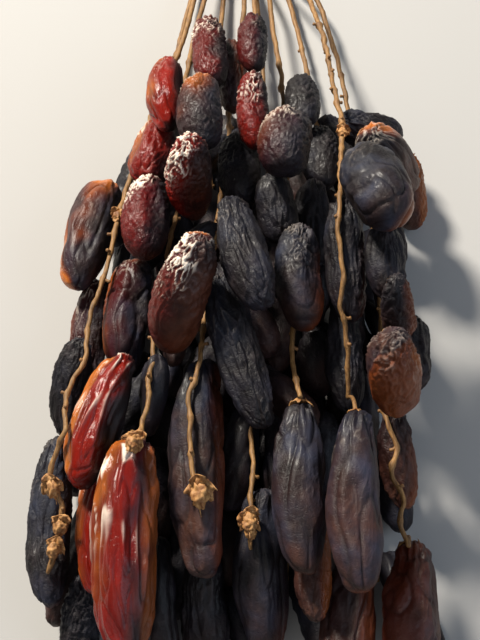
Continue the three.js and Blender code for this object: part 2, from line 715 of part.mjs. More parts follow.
// A date that grows on a strand at a bead, leaning away from it to one side.
function fillDate(strandBody, index, width, spread, turn) {
  const from = strandBody.beads[index].at;
  const along = strandBody.beads[index + 1].at.clone().sub(from).normalize();
  const side = zAxis.clone().cross(along).normalize().applyAxisAngle(along, turn);
  const direction = along.clone().applyAxisAngle(new THREE.Vector3().crossVectors(along, side), spread);
  const length = width * FILL_PROPORTION;
  const capRadius = dateRadius(-1, width);
  const capMiddle = from.clone().addScaledVector(side, capRadius * FILL_CAP_SINK);
  const middle = capMiddle.addScaledVector(direction, length / 2 - capRadius);
  const bowSide = new THREE.Vector3().crossVectors(direction, side).normalize();
  return { middle, direction, side: bowSide, length, width };
}

function firstFillThatFits(strand, index, shown) {
  const others = placed.filter((body) => body !== strand.body);
  for (const width of FILL_WIDTHS) {
    for (const spread of FILL_SPREADS) {
      for (let k = 0; k < FILL_DIRECTIONS; k += 1) {
        const turn = (2 * Math.PI * (k + index * FILL_TURN)) / FILL_DIRECTIONS;
        const date = fillDate(strand.body, index, width, radians(spread), turn);
        const body = dateBody(date);
        const leans = date.direction.dot(sightAxis) > FILL_LEAST_LEAN;
        const falls = -date.direction.y > FILL_LEAST_FALL;
        if (leans && falls && isClear(body, others) && isInOutline(body) && !hidesAny(body, shown)) {
          return { date, body };
        }
      }
    }
  }
  return null;
}

function fillHollows(shown) {
  for (const strand of strands) {
    for (let i = 1; i + 1 < strand.body.beads.length; i += FILL_SPACING) {
      if (strand.body.beads[i].at.y > FILL_TOP) {
        continue;
      }
      const found = firstFillThatFits(strand, i, shown);
      if (found) {
        placed.push(found.body);
        strand.dates.push(found.date);
      }
    }
  }
}

// Each strand with the dates that grow on it, joined in one piece.
function addStrandSolids() {
  for (const strand of strands) {
    let solid = toSolid(strandGeometry(strand.body));
    for (const date of strand.dates) {
      solid = solid.add(toSolid(dateGeometry(date, PLAIN_FACETS)));
    }
    bunch.add(named(strand.name, fromSolid(solid), material(STRAND_TAN, 0.7)));
  }
}

bunch.add(named("stalk", stalkGeometry(), material(STALK_TAN, 0.75)));
addBackSprays();
addDates(DATES_BEHIND);
addDates(DATES_LOW);
addStrand(STRAND_TO_LOW_MIDDLE);
addStrand(STRAND_TO_LOW_RIGHT);
addStrand(STRAND_TO_RIGHT_CORNER);
addStrand(STRAND_MIDDLE_LEFT);
addStrand(STRAND_LEFT);
addStrand(STRAND_FAR_LEFT);
addDates(DATES_UPPER);
addStrand(STRAND_DOWN_RIGHT);
addDates(DATES_FRONT);
addDates(DATES_FOREMOST);
fillHollows(shownDates);
addStrandSolids();

const whole = new THREE.Box3().setFromObject(bunch);
bunch.position.set(-(whole.min.x + whole.max.x) / 2, -(whole.min.y + whole.max.y) / 2, -whole.min.z);
bunch.updateMatrixWorld(true);

export default bunch;
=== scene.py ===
# The looks of a cut bunch of ripe dates, built round the solids of its dates, strands and stalk.
# Shapes are worked out in millimetres and made in metres. Azimuth 0 looks along +Y.

import itertools
import json
import math

import bpy
import numpy as np
from mathutils import Matrix


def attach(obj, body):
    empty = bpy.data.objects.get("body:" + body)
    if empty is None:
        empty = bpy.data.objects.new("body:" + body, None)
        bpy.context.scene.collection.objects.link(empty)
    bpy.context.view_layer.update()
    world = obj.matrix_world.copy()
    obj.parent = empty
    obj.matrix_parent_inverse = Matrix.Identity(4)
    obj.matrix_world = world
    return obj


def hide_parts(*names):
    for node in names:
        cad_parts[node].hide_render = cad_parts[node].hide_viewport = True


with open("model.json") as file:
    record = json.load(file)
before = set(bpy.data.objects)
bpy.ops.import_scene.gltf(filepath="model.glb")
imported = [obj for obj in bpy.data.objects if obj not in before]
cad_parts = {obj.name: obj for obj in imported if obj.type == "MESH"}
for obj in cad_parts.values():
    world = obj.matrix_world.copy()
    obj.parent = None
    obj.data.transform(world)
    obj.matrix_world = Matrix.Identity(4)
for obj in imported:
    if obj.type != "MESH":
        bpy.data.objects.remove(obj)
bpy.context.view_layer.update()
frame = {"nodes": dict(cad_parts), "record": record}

MM = 0.001

# The view that the places of the strands are given on, as in the part's source.
EYE_DISTANCE = 420.0
EYE_ELEVATION = math.radians(65.0)
EYE_TARGET_HEIGHT = 38.0
VIEW_HALF_HEIGHT = 320.0 / 3.0

# A date, as in the part's source.
CAP_END = 0.8
TIP_END = 0.62
DATE_FULLNESS = 3.0
DATE_BOW = 0.03
BELLY_PLACE = 0.36
FINE_SIDES = 10
PLAIN_SIDES = 8
PLAIN_END_ANGLE = math.radians(50.0)

# Strands and stalk, as in the part's source.
STRAND_RADIUS = 1.1
STRAND_STEP = 3.6
STALK_START = 195.0
STALK_LENGTH = 46.0
STALK_START_SIZE = (21.0, 9.6)
STALK_CUT_SIZE = (29.0, 13.5)
STALK_SPREAD = 0.8
SHOWN_ROOTS = 8
SHOWN_ROOT_HEIGHT = 0.7
BACK_ROOT_HEIGHT = 0.28
BEND_PLACES = 8
BEND_SPREAD = 1.4
BACK_LANES = (-47.0, -16.0, 16.0, 47.0)
BACK_TOP = 96.0
BACK_BOTTOM = -116.0
BACK_STRAND_SHORT = 35.0
BACK_STRAND_HEIGHT = 0.68 * 14.0
LANE_ROOT = 0.09
LANE_SPREAD = 0.45

# The scene's strands: the gap between their rings, how far from their roots the first stub is, from
# which radius on a swelling is a cap, and which of their points stems may end on, those of the
# dates that show and of the others.
STRAND_GRAIN = 0.9
BARE_LENGTH = 80.0
CAP_SWELL = 2.3
SHOWN_WAYS = slice(90, None, 4)
PLAIN_WAYS = slice(70, None, 3)

# Strands that show: how many spaces right of the stalk's middle the root is, then places on the view
# plane, each x, y and, where the strand swells or thins, its radius.
STRAND_ROUTES = {
    "strand_4": (-0.5, [
        (5, 106), (5, 95), (2, 60), (0, 20), (1, -15), (3.5, -36), (4, -42.5), (4.5, -48.5),
        (4, -55.5), (3, -59.5), (4, -62), (3.3, -64, 1.6), (3.3, -66, 3.2), (3.6, -69, 2.6),
        (3.4, -72.5, 1), (3.3, -76.5, 0.8)]),
    "strand_5": (0.5, [
        (10, 106), (11, 96), (13.5, 83.5), (15.5, 60), (16, 30), (18, -1.5), (17.3, -7.5),
        (17.4, -14), (18.6, -19.5), (20, -25.5)]),
    "strand_7": (2.5, [
        (27, 104), (33, 85), (38, 60), (45, 30), (46.5, 8), (47, -2.5), (47.5, -16), (47, -28),
        (49.5, -35.5), (53, -43.5), (50.5, -48.5), (50.3, -52.5), (53.5, -56.5), (55.3, -61),
        (53.3, -64), (53.3, -68.5), (55.3, -73), (56.3, -75.5)]),
    "strand_6": (1.5, [
        (23.5, 106), (28, 94), (31.5, 76), (33.8, 67.5, 1.3), (34.5, 63, 2.4), (33.8, 58, 1.3),
        (33.3, 47), (33.5, 42.5), (33, 36), (32.5, 29.5), (33.6, 22.5), (34.7, 14.5), (34, 9.5),
        (32.7, 4.5), (35, 0.5), (35.3, -4), (35.8, -10.5), (36, -17.5), (36, -26)]),
    "strand_3": (-1.5, [
        (1.5, 106), (0.5, 94), (-4, 75), (-3.5, 62), (-8, 30), (-12, 0), (-13, -9.5),
        (-13.3, -13.5), (-15, -20.5), (-17.3, -23.5), (-16.7, -30.5), (-16.7, -37.5),
        (-16.3, -44.5), (-16, -51), (-13.8, -54, 1.5), (-13.3, -56, 4), (-14, -59, 2)]),
    "strand_2": (-2.5, [
        (-12, 106), (-15, 96), (-20, 70), (-21.5, 50), (-21.3, 38), (-21.3, 33), (-23, 29.5),
        (-23.7, 24.5), (-24.3, 20), (-28, 0), (-29.3, -9.5), (-28.3, -13.5), (-30.5, -18),
        (-30.3, -23.5), (-30.3, -28.5), (-32.7, -32.5), (-32.7, -36), (-33.7, -38.5, 1.6),
        (-35, -40, 3), (-36.3, -42.5, 1.6)]),
    "strand_1": (-3.5, [
        (-15.5, 106), (-18, 96), (-22, 85), (-29.5, 68), (-35, 52), (-40.5, 35, 2.4),
        (-41.7, 29.5, 1.3), (-43, 22.5), (-44.5, 17.5), (-46.5, 10.5), (-49, 5), (-50.5, -2),
        (-51.3, -7.5), (-51, -12), (-53, -16.5), (-55.5, -19), (-58, -25.5), (-58.3, -31),
        (-58, -37), (-59.5, -39), (-61.5, -45), (-63.3, -49.5), (-63.6, -54.5, 3),
        (-60.5, -58.5, 1.2), (-59.3, -62), (-59.3, -67.5, 2.8), (-61.5, -75, 2.8),
        (-64, -84.5, 0.8)]),
}

# The stalk's rings along it and across its cut, their sides, and how deep its cut is dented.
STALK_RINGS = 64
CUT_RINGS = 16
STALK_SIDES = 128
CUT_DENT = 0.2

# Skins: how high the narrow ridges stand, how far apart they are and how much longer they run than
# that, the same for the narrow creases, the small folds, the broad hollows, how much the ridges
# wander, how much less wrinkled the tip is than the cap end, and how crinkled the surface is.
# Heights, depths and gaps are in millimetres.
SKINS = {
    "brain": (1.05, 2.2, 1.2, 0.3, 6.0, 1.5, 0.4, 1.2, 0.9, 1.0, 1.0),
    "folds": (0.8, 2.1, 3.6, 0.6, 4.6, 4.0, 0.35, 1.7, 0.6, 0.4, 0.9),
    "ribs": (1.6, 4.8, 8.0, 0.5, 3.4, 5.0, 0.2, 1.0, 0.35, 0.3, 0.3),
    "smooth": (0.32, 2.4, 3.4, 0.8, 6.5, 4.5, 0.12, 2.0, 0.5, 0.4, 0.5),
    "loose": (0.32, 2.3, 1.8, 0.7, 9.0, 1.3, 0.14, 2.3, 0.6, 0.6, 0.5),
    "half": (0.85, 2.1, 1.3, 0.35, 7.0, 1.5, 0.25, 1.5, 0.8, 1.9, 0.4),
}

# Looks of the dates that show, in their order, with None for a number that no date has: skin, then
# how red, how pale with glints on its ridges, how much bloom and how brown, each from 0 to 1, or above 1
# where the brown runs on to the cap. The red is partly the skin's own and partly painted glow of light
# through the flesh, laid mostly on the sunlit side; the pale ridges are partly dry skin and partly
# painted glints on the sunlit side; the bloom is partly the skin's own and partly a painted bluish
# sheen of the sky. Some have a painted orange glow on sides, partly orange-brown skin and partly
# painted light through the flesh at the rims: for each side its angle as the eye sees it, from the
# right by the top, in degrees, how much, and how squarely the skin must face that way to begin to
# glow and to glow fully.
DATE_LOOKS = {
    "top": [
        ("smooth", 0.95, 0.1, 0.0, 0.1, (140, 0.9, 0.5, 1.1)),
        ("brain", 0.7, 0.75, 0.1, 0.1, (110, 0.4, 0.5, 1.0)),
        ("folds", 0.15, 0.0, 0.2, 0.5, (60, 0.5, 0.3, 0.9)),
        ("brain", 0.6, 0.6, 0.25, 0.1),
        ("brain", 0.0, 0.05, 0.35, 0.1),
    ],
    "upper": [
        ("folds", 0.9, 0.65, 0.05, 0.2, (150, 0.9, 0.4, 1.0)),
        ("brain", 0.3, 0.35, 0.4, 0.1, (110, 0.9, 0.3, 0.9)),
        ("brain", 0.95, 1.0, 0.0, 0.15, (-60, 0.3, 0.3, 0.9)),
        ("brain", 0.8, 0.7, 0.05, 0.15),
        ("brain", 0.0, 0.0, 0.3, 0.1),
        ("brain", 0.4, 0.5, 0.3, 0.1, (140, 0.45, 0.5, 1.0)),
        ("loose", 0.0, 0.05, 0.85, 0.25, (-30, 0.7, 0.35, 0.9)),
        ("brain", 0.0, 0.0, 0.35, 0.1),
        ("folds", 0.0, 0.0, 0.35, 0.2),
        ("smooth", 0.0, 0.3, 0.2, 0.9, (100, 1.0, 0.2, 0.8)),
        ("brain", 0.0, 0.0, 0.1, 0.9, (0, 0.8, 0.1, 0.8)),
    ],
    "middle": [
        ("smooth", 0.35, 0.2, 0.95, 0.3, (85, 1.0, 0.35, 0.85), (215, 1.0, 0.35, 0.9)),
        ("folds", 0.4, 0.35, 0.4, 0.3, (205, 0.8, 0.5, 0.95)),
        ("brain", 0.75, 0.9, 0.3, 0.1, (-60, 0.35, 0.4, 1.0)),
        ("loose", 0.5, 0.15, 0.9, 0.45, (-125, 1.0, 0.45, 0.9), (170, 0.75, 0.55, 1.0),
         (95, 0.6, 0.55, 1.0)),
        ("folds", 0.0, 0.1, 0.4, 0.1),
        ("folds", 0.0, 0.0, 0.3, 0.1),
        ("folds", 0.0, 0.0, 0.25, 0.1),
        ("half", 0.0, 0.1, 0.8, 0.45, (-50, 0.6, 0.2, 0.9)),
        ("folds", 0.0, 0.0, 0.4, 0.15, (-30, 0.3, 0.4, 1.0)),
        ("folds", 0.0, 0.0, 0.35, 0.25),
        ("brain", 0.0, 0.0, 0.2, 0.6, (-20, 0.6, 0.2, 0.9)),
        ("half", 0.6, 0.95, 0.15, 1.3, (90, 1.0, 0.75, 0.95), (-75, 0.4, 0.0, 0.9)),
    ],
    "lower": [
        ("folds", 0.0, 0.0, 0.3, 0.2),
        ("ribs", 0.95, 0.75, 0.0, 0.1, (150, 1.0, 0.5, 1.0)),
        ("folds", 0.0, 0.05, 0.4, 0.05),
        ("half", 0.0, 0.12, 0.6, 1.6, (-65, 0.62, -0.1, 0.02), (-10, 0.8, 0.7, 1.0)),
        None,
        ("folds", 0.0, 0.0, 0.2, 0.05),
        ("folds", 0.0, 0.0, 0.25, 0.3),
    ],
    "bottom": [
        ("folds", 0.0, 0.05, 0.7, 0.15, (-70, 0.3, 0.4, 1.0)),
        ("brain", 0.0, 0.0, 0.3, 0.2),
        ("ribs", 0.95, 0.6, 0.1, 0.1, (150, 0.9, 0.4, 1.0)),
        ("smooth", 0.0, 0.0, 0.15, 0.5),
        ("smooth", 0.0, 0.0, 0.7, 0.75, (5, 0.5, 0.3, 1.1)),
        ("folds", 0.0, 0.0, 0.2, 0.2),
        ("smooth", 0.0, 0.0, 0.6, 0.4, (-60, 0.4, 0.3, 0.9)),
        ("smooth", 0.1, 0.0, 0.85, 0.6, (-75, 0.5, 0.3, 1.0)),
        ("folds", 0.15, 0.0, 0.15, 0.8, (0, 0.7, 0.0, 0.8)),
        ("smooth", 0.2, 0.0, 0.15, 0.8, (20, 0.5, 0.0, 0.8)),
        ("smooth", 0.1, 0.05, 0.75, 0.9, (-80, 0.6, 0.3, 1.0)),
        ("folds", 0.2, 0.0, 0.1, 0.85, (-60, 0.7, 0.0, 0.8)),
        ("loose", 0.45, 0.0, 0.45, 1.2, (120, 0.35, -0.4, 0.7)),
        ("ribs", 0.9, 0.75, 0.4, 0.5, (130, 0.9, 0.35, 0.9), (0, 0.7, 0.45, 0.9)),
    ],
}

# Dates whose caps show.
SHOWN_CAPS = ["date_bottom_8", "date_bottom_11", "date_bottom_13", "date_bottom_14"]

# Looks of the dates that grow on the strands, dealt out in turn.
PLAIN_LOOKS = [
    ("folds", 0.0, 0.0, 0.3, 0.15),
    ("brain", 0.0, 0.05, 0.35, 0.1),
    ("smooth", 0.05, 0.0, 0.45, 0.35),
    ("folds", 0.05, 0.0, 0.2, 0.5),
]

# The height of the heart of the bunch. The closer sides of the skins face away from it.
HEART_HEIGHT = 22.0

# Hollows that smaller dates of the back sprays fill: places on the view plane, then the widths,
# lengths in widths, moves aside in widths, heights and turns that are tried, in this order, and
# how far such a date presses into others.
HOLLOWS = [
    (23, -9), (27.5, -15), (30, -30), (29.5, -44), (-4, -74), (-4, -87), (-2, -101), (-16.5, -9),
    (-21.5, -19), (-36.3, -31), (-27, -60), (44, -2), (7, -42), (-18.3, 31), (28.3, 10), (-8, 45),
]
HOLLOW_WIDTHS = (14, 12.5, 11, 9.5, 8)
HOLLOW_SHAPES = (2.6, 2.1, 1.7)
HOLLOW_SHIFTS = (0, 0.15, -0.15, 0.3, -0.3)
HOLLOW_RISES = (0.3, 2, 4, 6, 9, 12)
HOLLOW_TURNS = (0, 8, -8, 16, -16, 26, -26)
HOLLOW_PRESS = 1.3

# The skins' grids: steps along and around, in millimetres, on dates that show and on others.
SHOWN_STEPS = (0.45, 0.54)
PLAIN_STEPS = (1.2, 1.3)

# The caps' grids: rings and sides, on dates that show and on others.
SHOWN_CAP_GRID = (8, 36)
PLAIN_CAP_GRID = (5, 18)

# Stems and caps: how high above the table the middle of a stem and the rim of a cap stay, and how
# far a stem reaches, how many places its curve has and how thick it is at its ends.
STEM_LOWEST = 1.0
CAP_LOWEST = 0.6
STEM_REACH = 24.0
STEM_PLACES = 14
STEM_RADII = (0.75, 0.6)

# The turns of its place on the cap end that a stem tries, in degrees, and what its faults cost: a
# millimetre inside a date, a millimetre of length, an end that meets no strand, a place in view,
# and more than LONG_VIEW places in view. Of two values the first is for hidden caps and the second
# for shown ones.
STEM_TURNS = ((48, 66, 84, 102, 30, 15, 0, -20), (12,))
DEPTH_COST = 0.3
LENGTH_COST = 0.05
FREE_COST = (3, 30)
VIEW_COST = (4.0, 0.1)
LONG_VIEW = 6
LONG_VIEW_COST = 200

# Where the seeds of the pieces start.
STRAND_SEED = 300
BACK_SEED = 620
CAPS_SEED = 700
SKIN_SEED = 1000
STEM_SEED = 2000
FUSED_STEM_SEED = 2100
FUSED_SKIN_SEED = 5000


# Places and directions

def unit(vector):
    return vector / np.linalg.norm(vector)


def square_to(vector, axis):
    """The direction of what is left of a vector square to an axis."""
    return unit(vector - vector @ axis * axis)


def lengths(vectors):
    return np.linalg.norm(vectors, axis=-1)


def circle(sides):
    """The angles of some even places round a circle."""
    return np.linspace(0, 2 * math.pi, sides, endpoint=False)


def around_axis(axis, side, turn):
    """Directions square to an axis, at angles from one side of it."""
    return np.outer(np.cos(turn), side) + np.outer(np.sin(turn), np.cross(axis, side))


def smooth_step(low, high, value):
    share = np.clip((value - low) / (high - low), 0, 1)
    return share * share * (3 - 2 * share)


def columns(*rows):
    return np.stack(rows, axis=-1)


mounts = {mount["name"]: np.array(mount["pos_m"]) / MM for mount in frame["record"]["mounts"]}
shift = mounts["stalk_cut"] - np.array([0, STALK_START + STALK_LENGTH, STALK_CUT_SIZE[1] / 2])
x_axis = np.array([1.0, 0.0, 0.0])
z_axis = np.array([0.0, 0.0, 1.0])
sight = np.array([0.0, math.cos(EYE_ELEVATION), -math.sin(EYE_ELEVATION)])
sight_up = np.array([0.0, math.sin(EYE_ELEVATION), math.cos(EYE_ELEVATION)])
eye = shift + np.array([0, 0, EYE_TARGET_HEIGHT]) - EYE_DISTANCE * sight


def seen(x, y, depth):
    """The point at a place of the view plane and a depth before the eye."""
    scale = depth / EYE_DISTANCE
    return eye + depth * sight + x * scale * x_axis + y * scale * sight_up


def on_view(points):
    """The places on the view plane, and the depths, of one point or more."""
    offset = points - eye
    depth = offset @ sight
    return offset @ x_axis * EYE_DISTANCE / depth, offset @ sight_up * EYE_DISTANCE / depth, depth


# Noise

def noise_at(places, seed):
    """Smooth noise of about -1 to 1 at each of some places, with one swing to a unit of length."""
    directions = np.random.default_rng(seed).normal(size=(256, 3))
    directions /= lengths(directions)[:, None]
    order = np.random.default_rng(seed + 1).permutation(256)
    cell = np.floor(places).astype(np.int64)
    local = places - cell
    fade = local ** 3 * (local * (local * 6 - 15) + 10)
    total = np.zeros(len(places))
    for corner in np.ndindex(2, 2, 2):
        step = np.array(corner)
        at = (cell + step) & 255
        picked = order[(order[(order[at[:, 0]] + at[:, 1]) & 255] + at[:, 2]) & 255]
        weight = np.prod(np.where(step == 1, fade, 1 - fade), axis=1)
        total += weight * np.sum((local - step) * directions[picked], axis=1)
    return total * 1.7


def lines(places, seed, width):
    """Narrow lines, 1 at their middles, in a net with cells of about a unit of length."""
    return np.exp(-(np.abs(noise_at(places, seed)) / width) ** 1.15)


def warped(places, amount, seed):
    moves = [noise_at(places * 0.6, seed + 10 * k) for k in range(3)]
    return places + amount * columns(*moves)


# Dates

class Date:
    """A date: its middle, its direction from cap to tip, the side it bows to and its size."""

    def __init__(self, middle, direction, side, length, width):
        self.middle = middle
        self.direction = direction
        self.side = side
        self.third = np.cross(direction, side)
        self.length = length
        self.width = width

    def on_axis(self, reach):
        """Points of its bowed axis at distances from its cap end."""
        reach = np.asarray(reach, float)[..., None]
        bow = DATE_BOW * self.length * (0.5 - (2 * reach / self.length - 1) ** 2)
        return self.middle + self.direction * (reach - self.length / 2) + self.side * bow

    def beads(self, count):
        """The balls that it is the skin of."""
        along = np.linspace(-1, 1, count)
        ends = np.where(along < 0, CAP_END, TIP_END)
        radius = self.width / 2 * (1 - (1 - ends) * np.abs(along) ** DATE_FULLNESS)
        reach = np.linspace(CAP_END * self.width / 2, self.length - TIP_END * self.width / 2, count)
        return reach, radius

    def profile(self, count):
        """Distances from its cap end and its radius there, even along its outline."""
        bead_reach, bead_radius = self.beads(160)
        turn = np.linspace(0, math.pi, 500)
        reach = self.length * (1 - np.cos(turn)) / 2
        inside = bead_radius[None, :] ** 2 - (reach[:, None] - bead_reach[None, :]) ** 2
        radius = np.sqrt(np.maximum(inside.max(axis=1), 0))
        arc = np.concatenate([[0], np.cumsum(np.hypot(np.diff(reach), np.diff(radius)))])
        even = np.linspace(0, arc[-1], count)
        return np.interp(even, arc, reach), np.interp(even, arc, radius)


def solid_of(name):
    """The corners of a solid in millimetres, and its triangles."""
    mesh = frame["nodes"][name].data
    points = np.empty(len(mesh.vertices) * 3, np.float32)
    mesh.vertices.foreach_get("co", points)
    corners = np.empty(len(mesh.loops), np.int32)
    mesh.loops.foreach_get("vertex_index", corners)
    places, numbers = np.unique(points.reshape(-1, 3), axis=0, return_inverse=True)
    return places.astype(float) / MM, numbers.reshape(-1)[corners].reshape(-1, 3)


def single_date(name):
    """The date that a solid of its own stands for."""
    points, _ = solid_of(name)
    centre = points.mean(axis=0)
    axis = np.linalg.svd(points - centre)[2][0]
    along = (points - centre) @ axis
    ends = points[along.argmin()], points[along.argmax()]
    length = np.linalg.norm(ends[1] - ends[0])
    direction = (ends[1] - ends[0]) / length
    reach = (points - ends[0]) @ direction / length
    away = lengths(points - ends[0] - np.outer(reach * length, direction))
    near_start = away[(reach > 0.01) & (reach < 0.3)].max()
    near_end = away[(reach < 0.99) & (reach > 0.7)].max()
    if near_start < near_end:
        ends = ends[::-1]
        direction = -direction
        reach = 1 - reach
    belly = points[(reach > 0.3) & (reach < 0.7)]
    offset = belly.mean(axis=0) - (ends[0] + ends[1]) / 2
    side = square_to(offset, direction)
    date = Date((ends[0] + ends[1]) / 2 + side * DATE_BOW * length / 2, direction, side, length, 1)
    reach = (belly - date.middle) @ direction + length / 2
    growth = 1 / math.sqrt(math.cos(math.pi / FINE_SIDES))
    date.width = 2 * lengths(belly - date.on_axis(reach)).mean() / growth
    return date


def neighbours_of(faces, count):
    found = [set() for _ in range(count)]
    for a, b, c in faces.tolist():
        found[a].update((b, c))
        found[b].update((a, c))
        found[c].update((a, b))
    return found


def most_alike(values, room):
    """The value that the most of some values are like."""
    counts = [np.sum(np.abs(values - value) < room) for value in values]
    return values[int(np.argmax(counts))]


def date_at_pole(pole, ring, beyond):
    """The date with this end point, this first ring about it and its belly among some points."""
    middle = ring.mean(axis=0)
    radii = lengths(ring - middle)
    ring_radius = radii.mean()
    outward = unit(np.linalg.svd(ring - middle)[2][2])
    outward = outward * np.sign((pole - middle) @ outward)
    flat = np.abs((ring - middle) @ outward).max()
    if np.ptp(radii) > 0.01 * ring_radius or flat > 0.01 * ring_radius or len(beyond) < 3:
        return None
    behind = (pole - beyond) @ outward
    to_belly = most_alike(behind, 0.03)
    belly = beyond[np.abs(behind - to_belly) < 0.03]
    length = to_belly / BELLY_PLACE
    offset = middle - pole
    side = square_to(offset, outward)
    centre = pole - outward * length / 2 + side * DATE_BOW * length / 2
    on_belly = centre + outward * (0.5 - BELLY_PLACE) * length + side * DATE_BOW * length * 0.42
    belly_radius = np.median(lengths(belly - on_belly))
    share = ring_radius / belly_radius
    if not 0.4 < share < 0.7:
        return None
    end_share, direction = (TIP_END, outward) if share < 0.545 else (CAP_END, -outward)
    growth = 1 / math.sqrt(math.cos(math.pi / PLAIN_SIDES))
    width = 2 * ring_radius / growth / math.sin(PLAIN_END_ANGLE) / end_share
    return Date(centre, direction, side, length, width)


def fused_dates(name):
    """The dates that are fused to a strand's solid, found by the rings about their ends."""
    points, faces = solid_of(name)
    near = neighbours_of(faces, len(points))
    dates = []
    for pole, around in enumerate(near):
        if len(around) != PLAIN_SIDES:
            continue
        beyond = set().union(*[near[k] for k in around]) - around - {pole}
        date = date_at_pole(points[pole], points[sorted(around)], points[sorted(beyond)])
        if date and all(np.linalg.norm(date.middle - other.middle) > 2 for other in dates):
            dates.append(date)
    return dates


# Meshes

class Shape:
    """Points in millimetres, faces and named values for each point, gathered from several forms."""

    def __init__(self):
        self.points = []
        self.faces = []
        self.values = []
        self.count = 0

    def add(self, points, faces, **values):
        self.faces.extend([[k + self.count for k in face] for face in faces])
        self.points.append(points)
        self.values.append(values)
        self.count += len(points)

    def add_rings(self, first, rings, last, flip=False, **values):
        """A closed skin over a first pole, some rings and a last pole, with values for the rings."""
        sides = len(rings[0])
        faces = closed_faces(len(rings), sides)
        repeats = [sides + 1, *[sides] * (len(rings) - 2), sides + 1]
        tints = {key: np.repeat(np.broadcast_to(value, len(rings)), repeats)
                 for key, value in values.items()}
        self.add(np.concatenate([[first], *rings, [last]]),
                 [face[::-1] for face in faces] if flip else faces, **tints)

    def layers(self):
        """Each named value at all points, 0 where a form has none."""
        keys = sorted({key for values in self.values for key in values})
        return {key: np.concatenate([np.broadcast_to(values.get(key, 0), len(points))
                                     for values, points in zip(self.values, self.points)])
                for key in keys}


def placed(name, data):
    """An object in the scene."""
    made = bpy.data.objects.new(name, data)
    bpy.context.scene.collection.objects.link(made)
    return made


def make_piece(name, shape, surface, nodes):
    """A piece in the row's frame that stands for some nodes."""
    mesh = bpy.data.meshes.new(name)
    points = np.concatenate(shape.points) * MM
    mesh.from_pydata(points.tolist(), [], shape.faces)
    mesh.polygons.foreach_set("use_smooth", np.ones(len(mesh.polygons), bool))
    for key, row in shape.layers().items():
        layer = mesh.attributes.new(key, "FLOAT", "POINT")
        layer.data.foreach_set("value", row.astype(np.float32))
    mesh.materials.append(surface)
    mesh.update()
    piece = placed(name, mesh)
    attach(piece, "root")
    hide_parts(*nodes)


def closed_faces(rings, sides):
    """Faces over a first pole, some rings of points and a last pole."""
    faces = []
    last = 1 + rings * sides
    for i in range(sides):
        after = (i + 1) % sides
        faces.append([0, 1 + after, 1 + i])
        faces.append([last, last - sides + i, last - sides + after])
    for ring in range(rings - 1):
        here = 1 + ring * sides
        for i in range(sides):
            after = (i + 1) % sides
            faces.append([here + i, here + after, here + sides + after, here + sides + i])
    return faces


def skin_grid(date, steps, facing):
    """The smooth skin: points about a straight axis, their outward directions, their angle from
    the side that faces out, and how many rings and sides they make. Sides are closer there."""
    rings = int(date.length / steps[0])
    sides = int(math.pi * date.width / steps[1])
    reach, radius = date.profile(rings)
    turn = circle(sides)
    around, along = np.meshgrid(turn - 0.4 * np.sin(turn), reach[1:-1])
    ring = radius[1:-1, None]
    slope = np.gradient(radius, reach + 1e-9 * np.arange(rings))[1:-1, None]
    tilt = np.arctan(np.clip(slope, -50, 50)) + 0 * around
    angle = around + facing
    body = columns(ring * np.cos(angle), ring * np.sin(angle), along).reshape(-1, 3)
    lean = columns(np.cos(tilt) * np.cos(angle), np.cos(tilt) * np.sin(angle), -np.sin(tilt))
    local = np.concatenate([[[0, 0, 0]], body, [[0, 0, date.length]]])
    normal = np.concatenate([[[0, 0, -1]], lean.reshape(-1, 3), [[0, 0, 1]]])
    around = np.concatenate([[0], around.reshape(-1), [0]])
    return local, normal, around, rings - 2, sides


def pressed(local, date, seed):
    """A body flattened here and there, as by the dates round it."""
    generator = np.random.default_rng(seed)
    centre = np.array([0, 0, date.length / 2])
    for _ in range(7):
        angle = generator.uniform(0, 2 * math.pi)
        rise = generator.uniform(-0.5, 0.5)
        plane = unit(np.array([math.cos(angle), math.sin(angle), rise * 0.7]))
        middle = centre + np.array([0, 0, rise * 0.6 * date.length])
        beyond = (local - middle) @ plane - date.width / 2 * generator.uniform(0.78, 0.92)
        local = local - np.outer(np.maximum(beyond, 0) * 0.7, plane)
    return local


def skin_relief(local, share, skin, seed):
    """How far the skin lies in from the smooth date, how much it stands in a ridge, and how deep
    it lies in a crease, the last two from 0 to 1. The colour lays a painted highlight on the ridges
    and painted shade in the creases."""
    (ridge_height, ridge_gap, ridge_run, crease_depth, crease_gap, crease_run, fold_depth,
     dent_depth, warp, fade, _) = skin
    drift = np.random.default_rng(seed).uniform(0, 200, 3)
    ridge_size = ridge_gap * np.array([1, 1, ridge_run])
    ridge = lines(warped(local / ridge_size + drift, warp, seed + 100), seed + 200, 0.3)
    crease_size = crease_gap * np.array([1, 1, crease_run])
    crease = lines(warped(local / crease_size + drift, 0.4, seed + 700), seed + 750, 0.13)
    fine = lines(warped(local / (0.45 * ridge_size) + drift, 0.5, seed + 400), seed + 500, 0.34)
    dent = noise_at(local / np.array([9, 9, 17]) + drift, seed + 600)
    strength = 0.45 + 0.55 * smooth_step(-0.5, 0.5, noise_at(local / 11 + drift, seed + 300))
    strength = strength * np.maximum(1 + fade * (0.4 - share), 0.08)
    relief = ridge_height * strength * (1 - ridge) + fold_depth * strength * (1 - fine)
    relief += crease_depth * crease + dent_depth * np.maximum(dent, 0) ** 1.2
    relief -= 0.35 * (ridge_height + fold_depth) * strength.mean() + 0.1
    # Creases and the low sides of ridges, which the colour darkens as painted shade.
    deep = np.maximum(crease * min(1, crease_depth), (1 - ridge) * min(1, ridge_height) * 0.6)
    return relief, np.clip(ridge * strength, 0, 1), np.clip(deep * (0.6 + 0.4 * (1 - fine)), 0, 1)


def puckers(angle, share, seed):
    """Small folds that run together at the cap end."""
    generator = np.random.default_rng(seed)
    count = generator.integers(7, 11)
    wave = np.cos(angle * count + 2.2 * np.sin(angle * 2 + generator.uniform(0, 6)))
    return 0.4 * (1 - wave) * np.exp(-((share - 0.09) / 0.07) ** 2)


